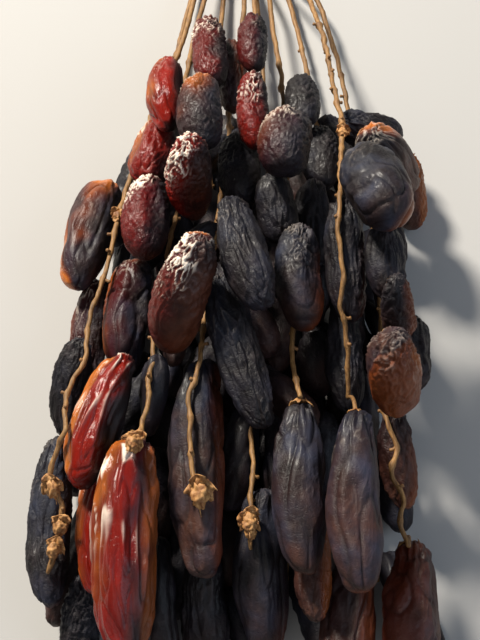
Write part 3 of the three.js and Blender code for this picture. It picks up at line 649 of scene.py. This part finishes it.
def skin_tints(local, normal, share, ridge, look, glow, seed):
    """The skin's tints, each from 0 to 1: reddening, partly its own and partly painted glow of light
    through the flesh, laid mostly on the sunlit side; pale dry ridge crests with painted glints on the
    sunlit side; a waxy dusting with a painted bluish sheen of the sky; brown; and orange at the rims,
    partly orange-brown skin and partly painted glow of light through the flesh.
    """
    kind, red, frost, bloom, brown = look
    patch = noise_at(local / 7.0 + seed, seed + 800)
    broad = noise_at(local / 13.0 + seed, seed + 900)
    # How squarely the skin faces the light from the upper left; the red and the pale ridge glints are laid
    # more on this side as painted light.
    sunny = normal @ unit(-0.8 * x_axis + 0.45 * sight_up - 0.2 * sight)
    # Red skin: partly the date's own red, partly painted glow of light through the flesh on the sunlit side.
    reds_and_sun_glow = red * smooth_step(-0.6, 0.8, sunny + 0.45 * patch + 0.9 * (red - 0.5))
    # Pale dry skin with painted glints on the crests of ridges, on the sunlit side only, fading towards the
    # tip.
    pale_skins_and_glints = frost * smooth_step(0.62, 0.92, ridge) * smooth_step(-0.3, 0.6, sunny + 0.7 * patch)
    pale_skins_and_glints = pale_skins_and_glints * smooth_step(0.65, 0.25, share)
    # Bloom in broad patches: partly the skin's own waxy bloom, partly a painted bluish sheen of the sky.
    blooms_and_sheen = bloom * smooth_step(-0.7, 0.3, broad + 0.4 * patch) * (1 - 0.85 * reds_and_sun_glow)
    browns = min(brown, 1) * smooth_step(0.2, 0.85, share * 0.9 + 0.3 * broad + 0.6 * (brown - 0.5))
    # Painted orange glow at the rims that face given sides as the eye sees them: partly orange-brown skin,
    # partly painted light through the flesh.
    glows = 0 * share
    for angle, most, low, high in glow:
        side = math.cos(math.radians(angle)) * x_axis + math.sin(math.radians(angle)) * sight_up
        facing = normal @ side + 0.18 * broad + 0.15 * patch
        glows = np.maximum(glows, most * smooth_step(low, high, facing))
    return {"tint_red": reds_and_sun_glow, "tint_frost": pale_skins_and_glints, "tint_bloom": blooms_and_sheen * (1 - 0.9 * glows),
            "tint_brown": browns, "tint_glow": glows, "tint_crinkle": SKINS[kind][-1]}


def add_skin(shape, date, look, glow, steps, seed):
    """The wrinkled skin of a date."""
    heart = np.array([0, date.middle[1] - shift[1], HEART_HEIGHT])
    outward = unit(unit(date.middle - shift - heart) - sight)
    facing = math.atan2(outward @ date.third, outward @ date.side)
    local, normal, around, rings, sides = skin_grid(date, steps, facing)
    share = local[:, 2] / date.length
    relief, ridge, deep = skin_relief(local, share, SKINS[look[0]], seed)
    relief = relief + puckers(around, share, seed + 7)
    local = pressed(local, date, seed + 9) - normal * relief[:, None]
    frame_axes = np.stack([date.side, date.third, date.direction])
    values = skin_tints(local, normal @ frame_axes, share, ridge, look, glow, seed)
    points = date.on_axis(local[:, 2]) + local[:, :2] @ frame_axes[:2]
    # tint_ridge carries a painted highlight on the ridge crests and tint_deep painted shade in the creases.
    shape.add(points, closed_faces(rings, sides), tint_ridge=ridge, tint_deep=deep, **values)


# Tubes, caps and stalk

def add_tube(shape, middles, radii, sides, tint_knot, tint_cap=0):
    """A closed round tube through points, with a radius and a knot tint at each."""
    along = np.gradient(middles, axis=0)
    along /= lengths(along)[:, None]
    side = np.cross(along[0], z_axis if abs(along[0] @ z_axis) < 0.9 else x_axis)
    rings = []
    for k, middle in enumerate(middles):
        side = square_to(side, along[k])
        rings.append(middle + radii[k] * around_axis(along[k], side, circle(sides)))
    first = middles[0] - along[0] * radii[0] * 0.4
    last = middles[-1] + along[-1] * radii[-1] * 0.4
    shape.add_rings(first, rings, last, tint_knot=tint_knot, tint_cap=tint_cap)


def spaced(points, radii, step):
    """The same line with points a step apart, on a smooth curve that softens its kinks."""
    points = np.asarray(points, float)
    smooth = points.copy()
    smooth[1:-1] = points[1:-1] * 0.7 + (points[:-2] + points[2:]) * 0.15
    far = np.concatenate([[0], np.cumsum(lengths(np.diff(smooth, axis=0)))])
    at = np.linspace(0, far[-1], max(3, int(far[-1] / step)))
    slopes = np.gradient(smooth, far, axis=0)
    place = np.clip(np.searchsorted(far, at, side="right") - 1, 0, len(far) - 2)
    span = (far[place + 1] - far[place])[:, None]
    u = (at - far[place])[:, None] / span
    curve = (2 * u ** 3 - 3 * u ** 2 + 1) * smooth[place]
    curve += (u ** 3 - 2 * u ** 2 + u) * span * slopes[place]
    curve += (3 * u ** 2 - 2 * u ** 3) * smooth[place + 1]
    curve += (u ** 3 - u ** 2) * span * slopes[place + 1]
    return curve, np.interp(at, far, radii)


def view_line(name, root):
    """A strand's places on the view plane and its radii, from its root on the stalk to its end."""
    route = STRAND_ROUTES[name][1]
    root_x, root_y, _ = on_view(root)
    first, second = route[:2]
    fall = (root_y - first[1]) / 3
    slope = (second[0] - first[0]) / (second[1] - first[1])
    bend = np.array([[root_x, root_y], [root_x * BEND_SPREAD, root_y - fall],
                     [first[0] + slope * fall, first[1] + fall], first[:2]])
    places = []
    for k in range(BEND_PLACES):
        u = k / BEND_PLACES
        weights = np.array([(1 - u) ** 3, 3 * u * (1 - u) ** 2, 3 * u * u * (1 - u), u ** 3])
        places.append([*(weights @ bend), STRAND_RADIUS])
    places += [[x, y, *(rest or [STRAND_RADIUS])] for x, y, *rest in route]
    line = [places[0]]
    for here, there in zip(places[:-1], places[1:]):
        count = max(1, round(math.hypot(there[0] - here[0], there[1] - here[1]) / STRAND_STEP))
        for k in range(1, count + 1):
            line.append([a + (b - a) * k / count for a, b in zip(here, there)])
    return np.array(line)


def depths_in_solid(name, line):
    """The depths of a strand's line, read from the rings of its solid, and nan between them."""
    across, up, depth = on_view(solid_of(name)[0])
    depths = np.full(len(line), np.nan)
    for k, (x, y, radius) in enumerate(line):
        away = np.hypot(across - x, up - y) * depth / EYE_DISTANCE
        found = np.sort(depth[away < radius * 1.05])
        if len(found) >= 3 and np.ptp(found) < 2.6 * radius:
            depths[k] = (found[0] + found[-1]) / 2
    return depths


def strand_points(name):
    """The middle line of a strand that shows, and its radii."""
    spacing = (STALK_START_SIZE[0] - 3 * STRAND_RADIUS) / (SHOWN_ROOTS - 1)
    place = STRAND_ROUTES[name][0] * spacing
    root = shift + np.array([place, STALK_START, STALK_START_SIZE[1] * SHOWN_ROOT_HEIGHT])
    line = view_line(name, root)
    depths = depths_in_solid(name, line)
    depths[0] = on_view(root)[2]
    known = ~np.isnan(depths)
    depths = np.interp(np.arange(len(line)), np.flatnonzero(known), depths[known])
    return np.array([seen(x, y, d) for (x, y, _), d in zip(line, depths)]), line[:, 2]


def back_strand_points(index):
    """The middle line of a strand at the back of the bunch."""
    last = BACK_BOTTOM + BACK_STRAND_SHORT
    y = np.linspace(STALK_START, last, 34)
    share = (STALK_START - y) / (STALK_START - BACK_BOTTOM)
    x = BACK_LANES[index] * (LANE_ROOT + (1 - LANE_ROOT) * share ** LANE_SPREAD)
    rise = smooth_step(0, STALK_START - BACK_TOP, STALK_START - y)
    root = STALK_START_SIZE[1] * BACK_ROOT_HEIGHT
    z = root + (BACK_STRAND_HEIGHT - root) * rise
    return shift + columns(x, y, z), np.full(len(y), STRAND_RADIUS)


def strand_lines():
    """The middle lines and the radii of all strands, by name."""
    found = {name: strand_points(name) for name in STRAND_ROUTES}
    for index in range(len(BACK_LANES)):
        found[f"back_spray_{index + 1}"] = back_strand_points(index)
    return found


def add_stub(shape, line, k, thickness, generator):
    """What a date that has dropped off leaves on a strand."""
    along = unit(line[min(k + 2, len(line) - 1)] - line[k - 2])
    away = unit(np.cross(along, generator.normal(size=3)))
    reach = generator.uniform(0.3, 1.6)
    tip = line[k] + away * (thickness + reach) + along * reach * 0.6
    bent = (line[k] + tip) / 2 + along * 0.3
    stub, thick = spaced([line[k], bent, tip], [0.9, 0.5, 0.66], 0.5)
    add_tube(shape, stub, thick, 7, 0.7)


def add_strand(shape, points, radii, seed):
    """A knobbly strand, thinner towards its foot. Gives its middle line."""
    generator = np.random.default_rng(seed)
    root = points[0] + (points[0] - points[1]) * 1.6
    points = np.concatenate([root[None], points])
    radii = np.concatenate([[radii[0] * 1.3], radii])
    line, width = spaced(points, np.minimum(radii, 1.4), STRAND_GRAIN)
    far = np.arange(len(line)) * STRAND_GRAIN
    wander = columns(*[noise_at(columns(far / 6, far * 0, far * 0 + k), seed + k)
                       for k in range(3)])
    line = line + 0.42 * wander * smooth_step(20, 90, far)[:, None]
    width = width * (1.02 - 0.28 * smooth_step(20, 170, far))
    knots = 0.14 * noise_at(columns(far / 2.3, far * 0, far * 0), seed + 5)
    stubs = []
    at = BARE_LENGTH + generator.uniform(0, 8)
    while at < far[-1] - 4:
        knots += generator.uniform(0.2, 0.6) * np.exp(-((far - at) / generator.uniform(0.8, 1.5)) ** 2)
        stubs.append(int(at / STRAND_GRAIN))
        at += generator.uniform(6, 15)
    width = width * (0.96 + knots)
    add_tube(shape, line, width, 9, 0.3 * smooth_step(0.1, 0.5, knots))
    for k in stubs:
        if generator.random() < 0.65:
            add_stub(shape, line, k, width[k], generator)
    return line


def add_calyx(shape, centre, axis, size, seed, curl, grid):
    """A papery cap: a thin, more or less curled bowl with three broad lobes and a ragged rim."""
    generator = np.random.default_rng(seed)
    side = unit(np.cross(axis, generator.normal(size=3)))
    rings, sides = grid
    turn = circle(sides)
    phase = generator.uniform(0, 6)
    upper = []
    lower = []
    for k in range(1, rings):
        share = k / (rings - 1)
        spots = columns(np.cos(turn) * 2, np.sin(turn) * 2, np.full(sides, share * 2))
        ragged = noise_at(spots * 1.3 + seed % 97, seed)
        rough = noise_at(spots * 3.1 + seed % 89, seed + 1)
        lobes = 1 + share * (0.14 * np.cos(3 * turn + phase) + 0.34 * ragged + 0.14 * rough)
        radius = size * (share - 0.12 * share ** 4) * np.maximum(lobes, 0.4)
        rise = size * (curl * share ** 2 + share * (0.6 * ragged + 0.26 * rough))
        loop = centre + radius[:, None] * around_axis(axis, side, turn)
        upper.append(loop + np.outer(rise, axis))
        lower.append(loop + np.outer(rise - (0.5 - 0.25 * share), axis))
    knot = np.concatenate([np.linspace(0.5, 1, rings - 1), np.linspace(1, 0.5, rings - 1)])
    shape.add_rings(centre, [*upper, *lower[::-1]], centre - axis * 0.5, True,
                    tint_knot=0.3 * knot, tint_cap=knot)


def add_crumple(shape, centre, axis, size, seed):
    """The crumpled middle of an empty cap, with a loose fibre hanging from it."""
    rings, sides = 22, 30
    side = unit(np.cross(axis, x_axis + 0.2 * z_axis))
    down = np.linspace(0, math.pi, rings + 2)[1:-1]
    around, down = [grid.reshape(-1, 1) for grid in np.meshgrid(circle(sides), down)]
    ways = np.sin(down) * around_axis(axis, side, around) - np.cos(down) * axis
    ways = np.concatenate([[-axis], ways, [axis]])
    folds = lines(warped(ways * 1.1 + seed % 83, 0.5, seed), seed + 3, 0.45)
    rough = noise_at(ways * 2.6 + seed % 71, seed + 5)
    radius = size * (0.6 + 0.45 * folds + 0.18 * rough)
    places = centre + ways * radius[:, None] + np.outer(0.35 * (ways @ axis) * radius, axis)
    shape.add(places, closed_faces(rings, sides), tint_knot=0.9 * (1 - folds), tint_cap=0.4 + 0.6 * folds)
    generator = np.random.default_rng(seed)
    bends = [centre + axis * size * k * 0.7 + side * size * generator.uniform(-0.35, 0.35) for k in range(4)]
    fibre, thick = spaced(bends, [0.4, 0.3, 0.2, 0.12], 0.5)
    add_tube(shape, fibre, thick, 6, 0.1, 0.6)


def bodies_of(dates):
    """The beads of some dates, as middles and radii."""
    beads = [date.beads(9) for date in dates]
    middles = [date.on_axis(reach) for date, (reach, _) in zip(dates, beads)]
    return np.concatenate(middles), np.concatenate([radius for _, radius in beads])


def at_height(x, y, height):
    """The point at a place of the view plane and a height above the table."""
    way = seen(x, y, EYE_DISTANCE) - eye
    return eye + way * (height - eye[2]) / way[2]


def date_in_hollow(place, bodies):
    """The widest date at a place of the view plane that lies low and presses into no body by
    more than soft dates do."""
    for width, shape, move, rise, turn in itertools.product(
            HOLLOW_WIDTHS, HOLLOW_SHAPES, HOLLOW_SHIFTS, HOLLOW_RISES, HOLLOW_TURNS):
        angle = math.radians(turn)
        direction = unit(np.array([math.sin(angle), -math.cos(angle), -0.03 * rise]))
        middle = at_height(place[0] + move * width, place[1], width / 2 + rise)
        side = square_to(z_axis, direction)
        date = Date(middle, direction, side, width * shape, width)
        beads, radius = bodies_of([date])
        room = lengths(beads[:, None] - bodies[0]) - radius[:, None] - bodies[1]
        if room.min() > -HOLLOW_PRESS and (beads[:, 2] - radius).min() > 0.1:
            return date
    return None


def fill_hollows(dates, fused, strands):
    """Smaller dates of the back sprays, in hollows that the table would show through."""
    threads = [spaced(points, radii, 2.0) for points, radii in strands.values()]
    for place in HOLLOWS:
        found = bodies_of([*dates.values(), *sum(fused.values(), [])])
        date = date_in_hollow(place, [np.concatenate(rows) for rows in zip(found, *threads)])
        if date:
            lanes = [abs(date.middle[0] - shift[0] - lane) for lane in BACK_LANES]
            fused[f"back_spray_{1 + int(np.argmin(lanes))}"].append(date)


def in_view(curve, bodies):
    """How many points of a curve no body hides from the eye."""
    offset = bodies[0][None] - curve[:, None]
    to_eye = eye - curve
    to_eye = to_eye / lengths(to_eye)[:, None]
    nearer = np.sum(offset * to_eye[:, None], axis=2)
    aside = lengths(offset - nearer[..., None] * to_eye[:, None])
    hidden = np.any((nearer > 0) & (aside < bodies[1] - 1.4), axis=1)
    return len(curve) - hidden.sum()


def stem_start(date, turn):
    """Where a date's stem joins its cap end, turned from its pole away from the eye, and the way
    out of the date there."""
    back = square_to(sight, date.direction)
    outward = -math.cos(turn) * date.direction + math.sin(turn) * back
    radius = CAP_END * date.width / 2
    return date.on_axis([radius])[0] + outward * (radius - 0.5), outward


def cap_fault(date, turn, bodies):
    """How much of a date's cap the eye sees, and how far it would reach into the table."""
    centre, outward = stem_start(date, turn)
    side = unit(np.cross(outward, x_axis + 0.3 * z_axis))
    rim = centre + outward * 0.6 + 0.3 * date.width * around_axis(outward, side, circle(12))
    return in_view(rim, bodies) + 20 * max(CAP_LOWEST - rim[:, 2].min(), 0)


def above_table(point):
    return np.array([point[0], point[1], max(point[2], STEM_LOWEST)])


def stem_curve(start, outward, end):
    """A stem's bent way from a cap to an end."""
    elbow = above_table(start + outward * (2 + 0.3 * np.linalg.norm(end - start)))
    u = np.linspace(0, 1, STEM_PLACES)[:, None]
    return start * (1 - u) ** 2 + elbow * 2 * u * (1 - u) + end * u ** 2


def stem_cost(curve, shown, free, bodies):
    """What the faults of a stem's way cost."""
    room = lengths(curve[3:, None] - bodies[0][None]) - bodies[1]
    places = in_view(curve, bodies)
    cost = DEPTH_COST * np.maximum(0.6 - room.min(axis=1), 0).sum()
    cost += LENGTH_COST * np.linalg.norm(curve[-1] - curve[0])
    cost += FREE_COST[shown] if free else 0
    cost += VIEW_COST[shown] * places
    cost += LONG_VIEW_COST if places > LONG_VIEW and not shown and not free else 0
    return cost


def add_stem(shape, date, shown, ways, bodies, seed, grid):
    """The cap and the short stem of a date, by a clear way to a strand near it or else inwards,
    out of sight unless its cap shows."""
    turn = min(np.radians(STEM_TURNS[shown]), key=lambda k: cap_fault(date, k, bodies))
    centre, outward = stem_start(date, turn)
    add_calyx(shape, centre + outward * 0.3, -outward, 0.22 * date.width, seed, 0.3, grid)
    start = centre + outward * 0.5
    offset = ways - start
    far = lengths(offset)
    near = ways[(far < STEM_REACH) & (offset[:, 1] > 2) & (offset @ sight > 0)]
    if shown:
        near = ways[[far.argmin()]]
    inward = above_table(start + outward * 2 + sight * 2.5)
    curves = [stem_curve(start, outward, end) for end in [inward, *near]]
    costs = [stem_cost(curve, shown, k == 0, bodies) for k, curve in enumerate(curves)]
    best = curves[int(np.argmin(costs))]
    line, width = spaced(best, np.linspace(*STEM_RADII, STEM_PLACES), 1.0)
    add_tube(shape, line, width, 7, 0.3)


def stalk_loop(share, turn):
    """The fibrous outline of the stalk at a share of its length."""
    start = np.array(STALK_START_SIZE)
    width, height = start + (np.array(STALK_CUT_SIZE) - start) * share ** STALK_SPREAD
    level = np.full(len(turn), STALK_START + STALK_LENGTH * share)
    spots = columns(np.cos(turn) * width / 2, level / 14, np.sin(turn) * height / 2)
    fibre = noise_at(spots * np.array([1.1, 1, 1.1]), 61)
    coarse = noise_at(spots * np.array([0.35, 0.6, 0.35]), 62)
    inset = 0.12 + 0.3 * np.abs(fibre) + 0.5 * np.maximum(coarse, 0)
    x = np.cos(turn) * (width / 2 - inset)
    z = height / 2 + np.sin(turn) * (height / 2 - inset)
    return shift + columns(x, level, z)


def cut_loops(edge):
    """The rings across the stalk's cut, inwards from its edge, dented by its vessels."""
    centre = edge.mean(axis=0)
    loops = []
    for share in np.linspace(0.94, 0.08, CUT_RINGS):
        ring = centre + (edge - centre) * share
        ring[:, 1] -= 0.35 * np.abs(noise_at(ring / 1.1, 63)) + 0.1
        loops.append(ring)
    return loops


def add_stalk(shape):
    """The flat, fibrous stalk, from where the strands leave it to its cut."""
    loops = [stalk_loop(share, circle(STALK_SIDES)) for share in np.linspace(0, 1, STALK_RINGS)]
    cuts = cut_loops(loops[-1])
    first = loops[0].mean(axis=0)
    last = loops[-1].mean(axis=0) - np.array([0, CUT_DENT, 0])
    shape.add_rings(first, [*loops, *cuts], last, True,
                    tint_cut=[0] * STALK_RINGS + [1] * CUT_RINGS)


# Materials

def new_material(name):
    surface = bpy.data.materials.new(name)
    surface.use_nodes = True
    return surface, surface.node_tree, surface.node_tree.nodes["Principled BSDF"]


def connect(node, inputs):
    """Gives a node's inputs their values or links."""
    for key, value in inputs.items():
        if isinstance(value, bpy.types.NodeSocket):
            node.id_data.links.new(value, node.inputs[key])
        else:
            node.inputs[key].default_value = value


def add_node(kind, inputs, **settings):
    """A node in the tree that its inputs come from."""
    trees = [value.id_data for value in inputs.values() if isinstance(value, bpy.types.NodeSocket)]
    made = trees[0].nodes.new(kind)
    for key, value in settings.items():
        setattr(made, key, value)
    connect(made, inputs)
    return made


def value_of(tree, name):
    made = tree.nodes.new("ShaderNodeAttribute")
    made.attribute_name = name
    return made.outputs["Fac"]


def mixed(share, first, second, blend="MIX"):
    inputs = {0: share, 6: first, 7: second}
    return add_node("ShaderNodeMix", inputs, data_type="RGBA", blend_type=blend).outputs[2]


def maths(operation, first, second):
    return add_node("ShaderNodeMath", {0: first, 1: second}, operation=operation).outputs[0]


def times(first, second):
    return maths("MULTIPLY", first, second)


def plus(first, second):
    return maths("ADD", first, second)


def power(first, second):
    return maths("POWER", first, second)


def bumps(height, strength, distance):
    inputs = {"Height": height, "Strength": strength, "Distance": distance}
    return add_node("ShaderNodeBump", inputs).outputs["Normal"]


def ramp(value, stops):
    made = add_node("ShaderNodeValToRGB", {"Fac": value})
    elements = made.color_ramp.elements
    while len(elements) < len(stops):
        elements.new(0.5)
    for element, (place, colour) in zip(elements, stops):
        element.position = place
        element.color = (*colour, 1)
    return made.outputs["Color"]


def noise(place, scale, detail=3.0, roughness=0.55, distortion=0.0):
    inputs = {"Vector": place, "Scale": scale, "Detail": detail, "Roughness": roughness,
              "Distortion": distortion}
    return add_node("ShaderNodeTexNoise", inputs).outputs["Fac"]


def skin_material():
    """Ripe date skin: dark, with a waxy dusting that carries a painted bluish sheen, brown in places,
    reddening and orange in places, partly its own colour and partly painted glow of light through the
    flesh, pale dry ridges with painted glints, painted highlights on the ridge crests and painted shade
    in the creases.
    """
    surface, tree, shader = new_material("date_skin")
    place = tree.nodes.new("ShaderNodeTexCoord").outputs["Object"]
    mottle = noise(place, 210, 4)
    cloud = noise(place, 90)
    tints = ("red", "frost", "bloom", "brown", "ridge", "deep", "glow")
    red, frost, bloom, brown, ridge, deep, glow = [value_of(tree, f"tint_{key}") for key in tints]
    dark = ramp(mottle, [(0.3, (0.003, 0.0025, 0.0035)), (0.7, (0.011, 0.008, 0.01))])
    browns = ramp(mottle, [(0.3, (0.05, 0.016, 0.01)), (0.7, (0.15, 0.055, 0.03))])
    # Red skin, partly the date's own colour, partly painted glow of light through the flesh.
    reds_and_sun_glow = ramp(red, [(0.15, (0.02, 0.002, 0.002)), (0.55, (0.09, 0.003, 0.002)),
                      (0.95, (0.24, 0.009, 0.003))])
    # Bluish bloom: partly the skin's own bloom, partly a painted sheen of the sky.
    blooms_and_sheen = ramp(cloud, [(0.35, (0.006, 0.007, 0.013)), (0.68, (0.033, 0.043, 0.08))])
    # Painted orange glow of light through the flesh at the rims, partly orange-brown skin.
    glows = ramp(glow, [(0.1, (0.06, 0.012, 0.005)), (0.55, (0.2, 0.04, 0.008)),
                        (1.0, (0.46, 0.13, 0.02))])
    layers = [
        (times(brown, 0.85), browns),
        # Red skin with painted glow of light through the flesh.
        (power(red, 0.6), reds_and_sun_glow),
        # Bloom with a painted bluish sheen.
        (times(bloom, plus(cloud, 0.3)), blooms_and_sheen),
        # Painted orange glow at the rims.
        (power(glow, 0.8), glows),
        # Painted highlight on the ridge crests.
        (times(power(ridge, 3.0), 0.2), (0.13, 0.1, 0.1, 1)),
        # Painted shade in the creases.
        (times(deep, 0.8), (0.004, 0.0015, 0.0015, 1)),
        # Pale dry skin with painted glints on sunlit ridges.
        (times(frost, plus(mottle, 0.6)), (0.95, 0.83, 0.7, 1)),
    ]
    colour = dark
    for share, over in layers:
        colour = mixed(share, colour, over)
    dull = plus(times(bloom, 0.1), times(mottle, 0.16))
    wet = times(maths("MAXIMUM", red, glow), 0.32)
    rough = plus(maths("SUBTRACT", dull, wet), 0.44)
    crinkle = maths("SUBTRACT", noise(place, 620, 3, 0.6, 0.8), 0.5)
    folded = times(maths("ABSOLUTE", crinkle, 0.0), value_of(tree, "tint_crinkle"))
    grain = noise(place, 2600, 2)
    height = plus(times(folded, -1.7), times(grain, 0.1))
    connect(shader, {"Base Color": colour, "Roughness": rough, "Specular IOR Level": 0.28,
                     "Coat Weight": 0.05, "Coat Roughness": 0.2,
                     "Normal": bumps(height, 0.6, 0.0009)})
    return surface


def strand_material(name, pale, deep):
    """Dry yellow-brown strand or stalk, with fibres, darker knots, papery caps and a paler cut."""
    surface, tree, shader = new_material(name)
    place = tree.nodes.new("ShaderNodeTexCoord").outputs["Object"]
    mapping = {"Vector": place, "Scale": (1, 0.12, 1)}
    stretched = add_node("ShaderNodeMapping", mapping).outputs[0]
    fibres = noise(stretched, 1500, 4, 0.65)
    blotches = noise(stretched, 240)
    knot, cut, cap = [value_of(tree, f"tint_{key}") for key in ("knot", "cut", "cap")]
    colour = ramp(fibres, [(0.3, deep), (0.68, pale)])
    darker = ramp(blotches, [(0.35, (0.6, 0.6, 0.6)), (0.62, (1, 1, 1))])
    colour = mixed(1.0, colour, darker, "MULTIPLY")
    colour = mixed(times(knot, 0.5), colour, (0.2, 0.085, 0.028, 1))
    papery = noise(place, 420)
    dry = ramp(papery, [(0.35, (0.2, 0.07, 0.018)), (0.65, (0.62, 0.33, 0.12))])
    colour = mixed(cap, colour, dry)
    vessels = noise(place, 900, 2)
    pith = ramp(vessels, [(0.42, (0.22, 0.11, 0.04)), (0.56, (0.62, 0.45, 0.24))])
    colour = mixed(cut, colour, pith)
    connect(shader, {"Base Color": colour, "Roughness": 0.62, "Normal": bumps(fibres, 0.5, 0.0004)})
    return surface


# Camera, floor and lights

def aim(made, place, *axes):
    """Puts an object at a place, with its axes along three directions."""
    made.matrix_world = Matrix.Translation(place) @ Matrix(columns(*axes).tolist()).to_4x4()


def add_camera():
    data = bpy.data.cameras.new("camera")
    data.sensor_fit = "VERTICAL"
    data.sensor_height = 24.0
    data.lens = 24.0 * EYE_DISTANCE / (2 * VIEW_HALF_HEIGHT)
    data.clip_start = 0.01
    data.clip_end = 20.0
    camera = placed("camera", data)
    aim(camera, eye * MM, x_axis, sight_up, -sight)
    bpy.context.scene.camera = camera


def add_floor():
    half = 2.5
    mesh = bpy.data.meshes.new("floor")
    mesh.from_pydata([(-half, -half, 0), (half, -half, 0), (half, half, 0), (-half, half, 0)], [],
                     [(0, 1, 2, 3)])
    surface, _, shader = new_material("floor")
    connect(shader, {"Base Color": (0.45, 0.445, 0.435, 1), "Roughness": 0.85})
    mesh.materials.append(surface)
    floor = placed("floor", mesh)
    floor.location.z = -0.0004


def add_light(name, place, size, power, colour):
    data = bpy.data.lights.new(name, "AREA")
    data.shape = "DISK"
    data.size = size
    data.energy = power
    data.color = colour
    back = unit(np.array(place, float))
    side = unit(np.cross(z_axis, back))
    aim(placed(name, data), place, side, np.cross(back, side), back)


def add_lights():
    add_light("key", (-0.62, 0.78, 0.95), 0.26, 40.0, (1.0, 0.93, 0.82))
    add_light("fill", (0.95, -0.4, 0.9), 1.1, 5.0, (0.72, 0.84, 1.0))
    add_light("front", (-0.35, -0.8, 1.1), 1.0, 2.2, (1.0, 0.97, 0.93))
    world = bpy.data.worlds.new("studio")
    world.use_nodes = True
    connect(world.node_tree.nodes["Background"], {"Color": (0.82, 0.88, 1.0, 1), "Strength": 0.13})
    scene = bpy.context.scene
    scene.world = world
    scene.view_settings.view_transform = "Standard"
    scene.view_settings.look = "None"


# The bunch

def shown_looks():
    """The name, the look and the sides with a painted orange glow of each date that shows."""
    for group, rows in DATE_LOOKS.items():
        for number, row in enumerate(rows, 1):
            if row:
                yield f"date_{group}_{number}", row[:5], row[5:]


def add_shown_dates(surface):
    dates = {}
    for number, (name, look, glow) in enumerate(shown_looks()):
        dates[name] = single_date(name)
        shape = Shape()
        add_skin(shape, dates[name], look, glow, SHOWN_STEPS, SKIN_SEED + 31 * number)
        make_piece(name.replace("date_", "skin_"), shape, surface, [name])
    return dates


def add_fused_dates(name, dates, surface, place):
    """The dates that grow on one strand, in one piece, with the strand's place among all."""
    if not dates:
        return
    shape = Shape()
    for number, date in enumerate(dates):
        look = PLAIN_LOOKS[(place + number) % len(PLAIN_LOOKS)]
        add_skin(shape, date, look, [], PLAIN_STEPS, FUSED_SKIN_SEED + 97 * place + 13 * number)
    make_piece(f"dates_on_{name}", shape, surface, [name])


def caps_on(name, line, shape, seed):
    """Papery caps where a strand's route swells."""
    _, route = STRAND_ROUTES[name]
    across, up, _ = on_view(line)
    for number, place in enumerate(route):
        if len(place) < 3 or place[2] < CAP_SWELL:
            continue
        nearest = np.hypot(across - place[0], up - place[1]).argmin()
        along = unit(line[min(nearest + 3, len(line) - 1)] - line[max(nearest - 3, 0)])
        size = place[2]
        add_calyx(shape, line[nearest] - sight * 0.3, unit(0.6 * along - sight), size * 1.25,
                  seed + number, -0.1, SHOWN_CAP_GRID)
        middle = line[nearest] + along * size * 0.5 - sight * 0.7
        add_crumple(shape, middle, along, size * 0.78, seed + number + 9)


def add_strands(surface, dates, fused, strands):
    """The strands, with the caps and stems of the dates that show on the nearest strand, and those
    of the other dates on the strand that they grow on."""
    shapes = {name: Shape() for name in strands}
    lines_of = {}
    for number, (name, (points, radii)) in enumerate(strands.items()):
        seed = (STRAND_SEED if name in STRAND_ROUTES else BACK_SEED) + 40 * number
        lines_of[name] = add_strand(shapes[name], points, radii, seed)
        if name in STRAND_ROUTES:
            caps_on(name, lines_of[name], shapes[name], CAPS_SEED + 20 * number)
    ways = np.concatenate([line[SHOWN_WAYS] for line in lines_of.values()])
    ends = np.array([line[-1] for line in lines_of.values()])
    bodies = bodies_of([*dates.values(), *sum(fused.values(), [])])
    for number, (name, date) in enumerate(dates.items()):
        away = {key: lengths(line - date.on_axis([0])[0]).min() for key, line in lines_of.items()}
        carrier = min(away, key=away.get)
        shown = name in SHOWN_CAPS
        add_stem(shapes[carrier], date, shown, ends if shown else ways, bodies,
                 STEM_SEED + number, SHOWN_CAP_GRID)
    for place, (name, grown) in enumerate(fused.items()):
        for number, date in enumerate(grown):
            add_stem(shapes[name], date, False, lines_of[name][PLAIN_WAYS], bodies,
                     FUSED_STEM_SEED + 20 * place + number, PLAIN_CAP_GRID)
    for name, shape in shapes.items():
        make_piece(f"{name}_twig", shape, surface, [name])


add_camera()
skin = skin_material()
twig = strand_material("strand", (0.4, 0.215, 0.07), (0.13, 0.055, 0.016))
dates = add_shown_dates(skin)
strands = strand_lines()
fused = {name: fused_dates(name) for name in strands}
fill_hollows(dates, fused, strands)
for number, (name, grown) in enumerate(fused.items()):
    add_fused_dates(name, grown, skin, number)
add_strands(twig, dates, fused, strands)
stalk = Shape()
add_stalk(stalk)
make_piece("stalk_fibres", stalk, strand_material("stalk", (0.55, 0.33, 0.12), (0.27, 0.14, 0.045)),
           ["stalk"])
add_floor()
add_lights()
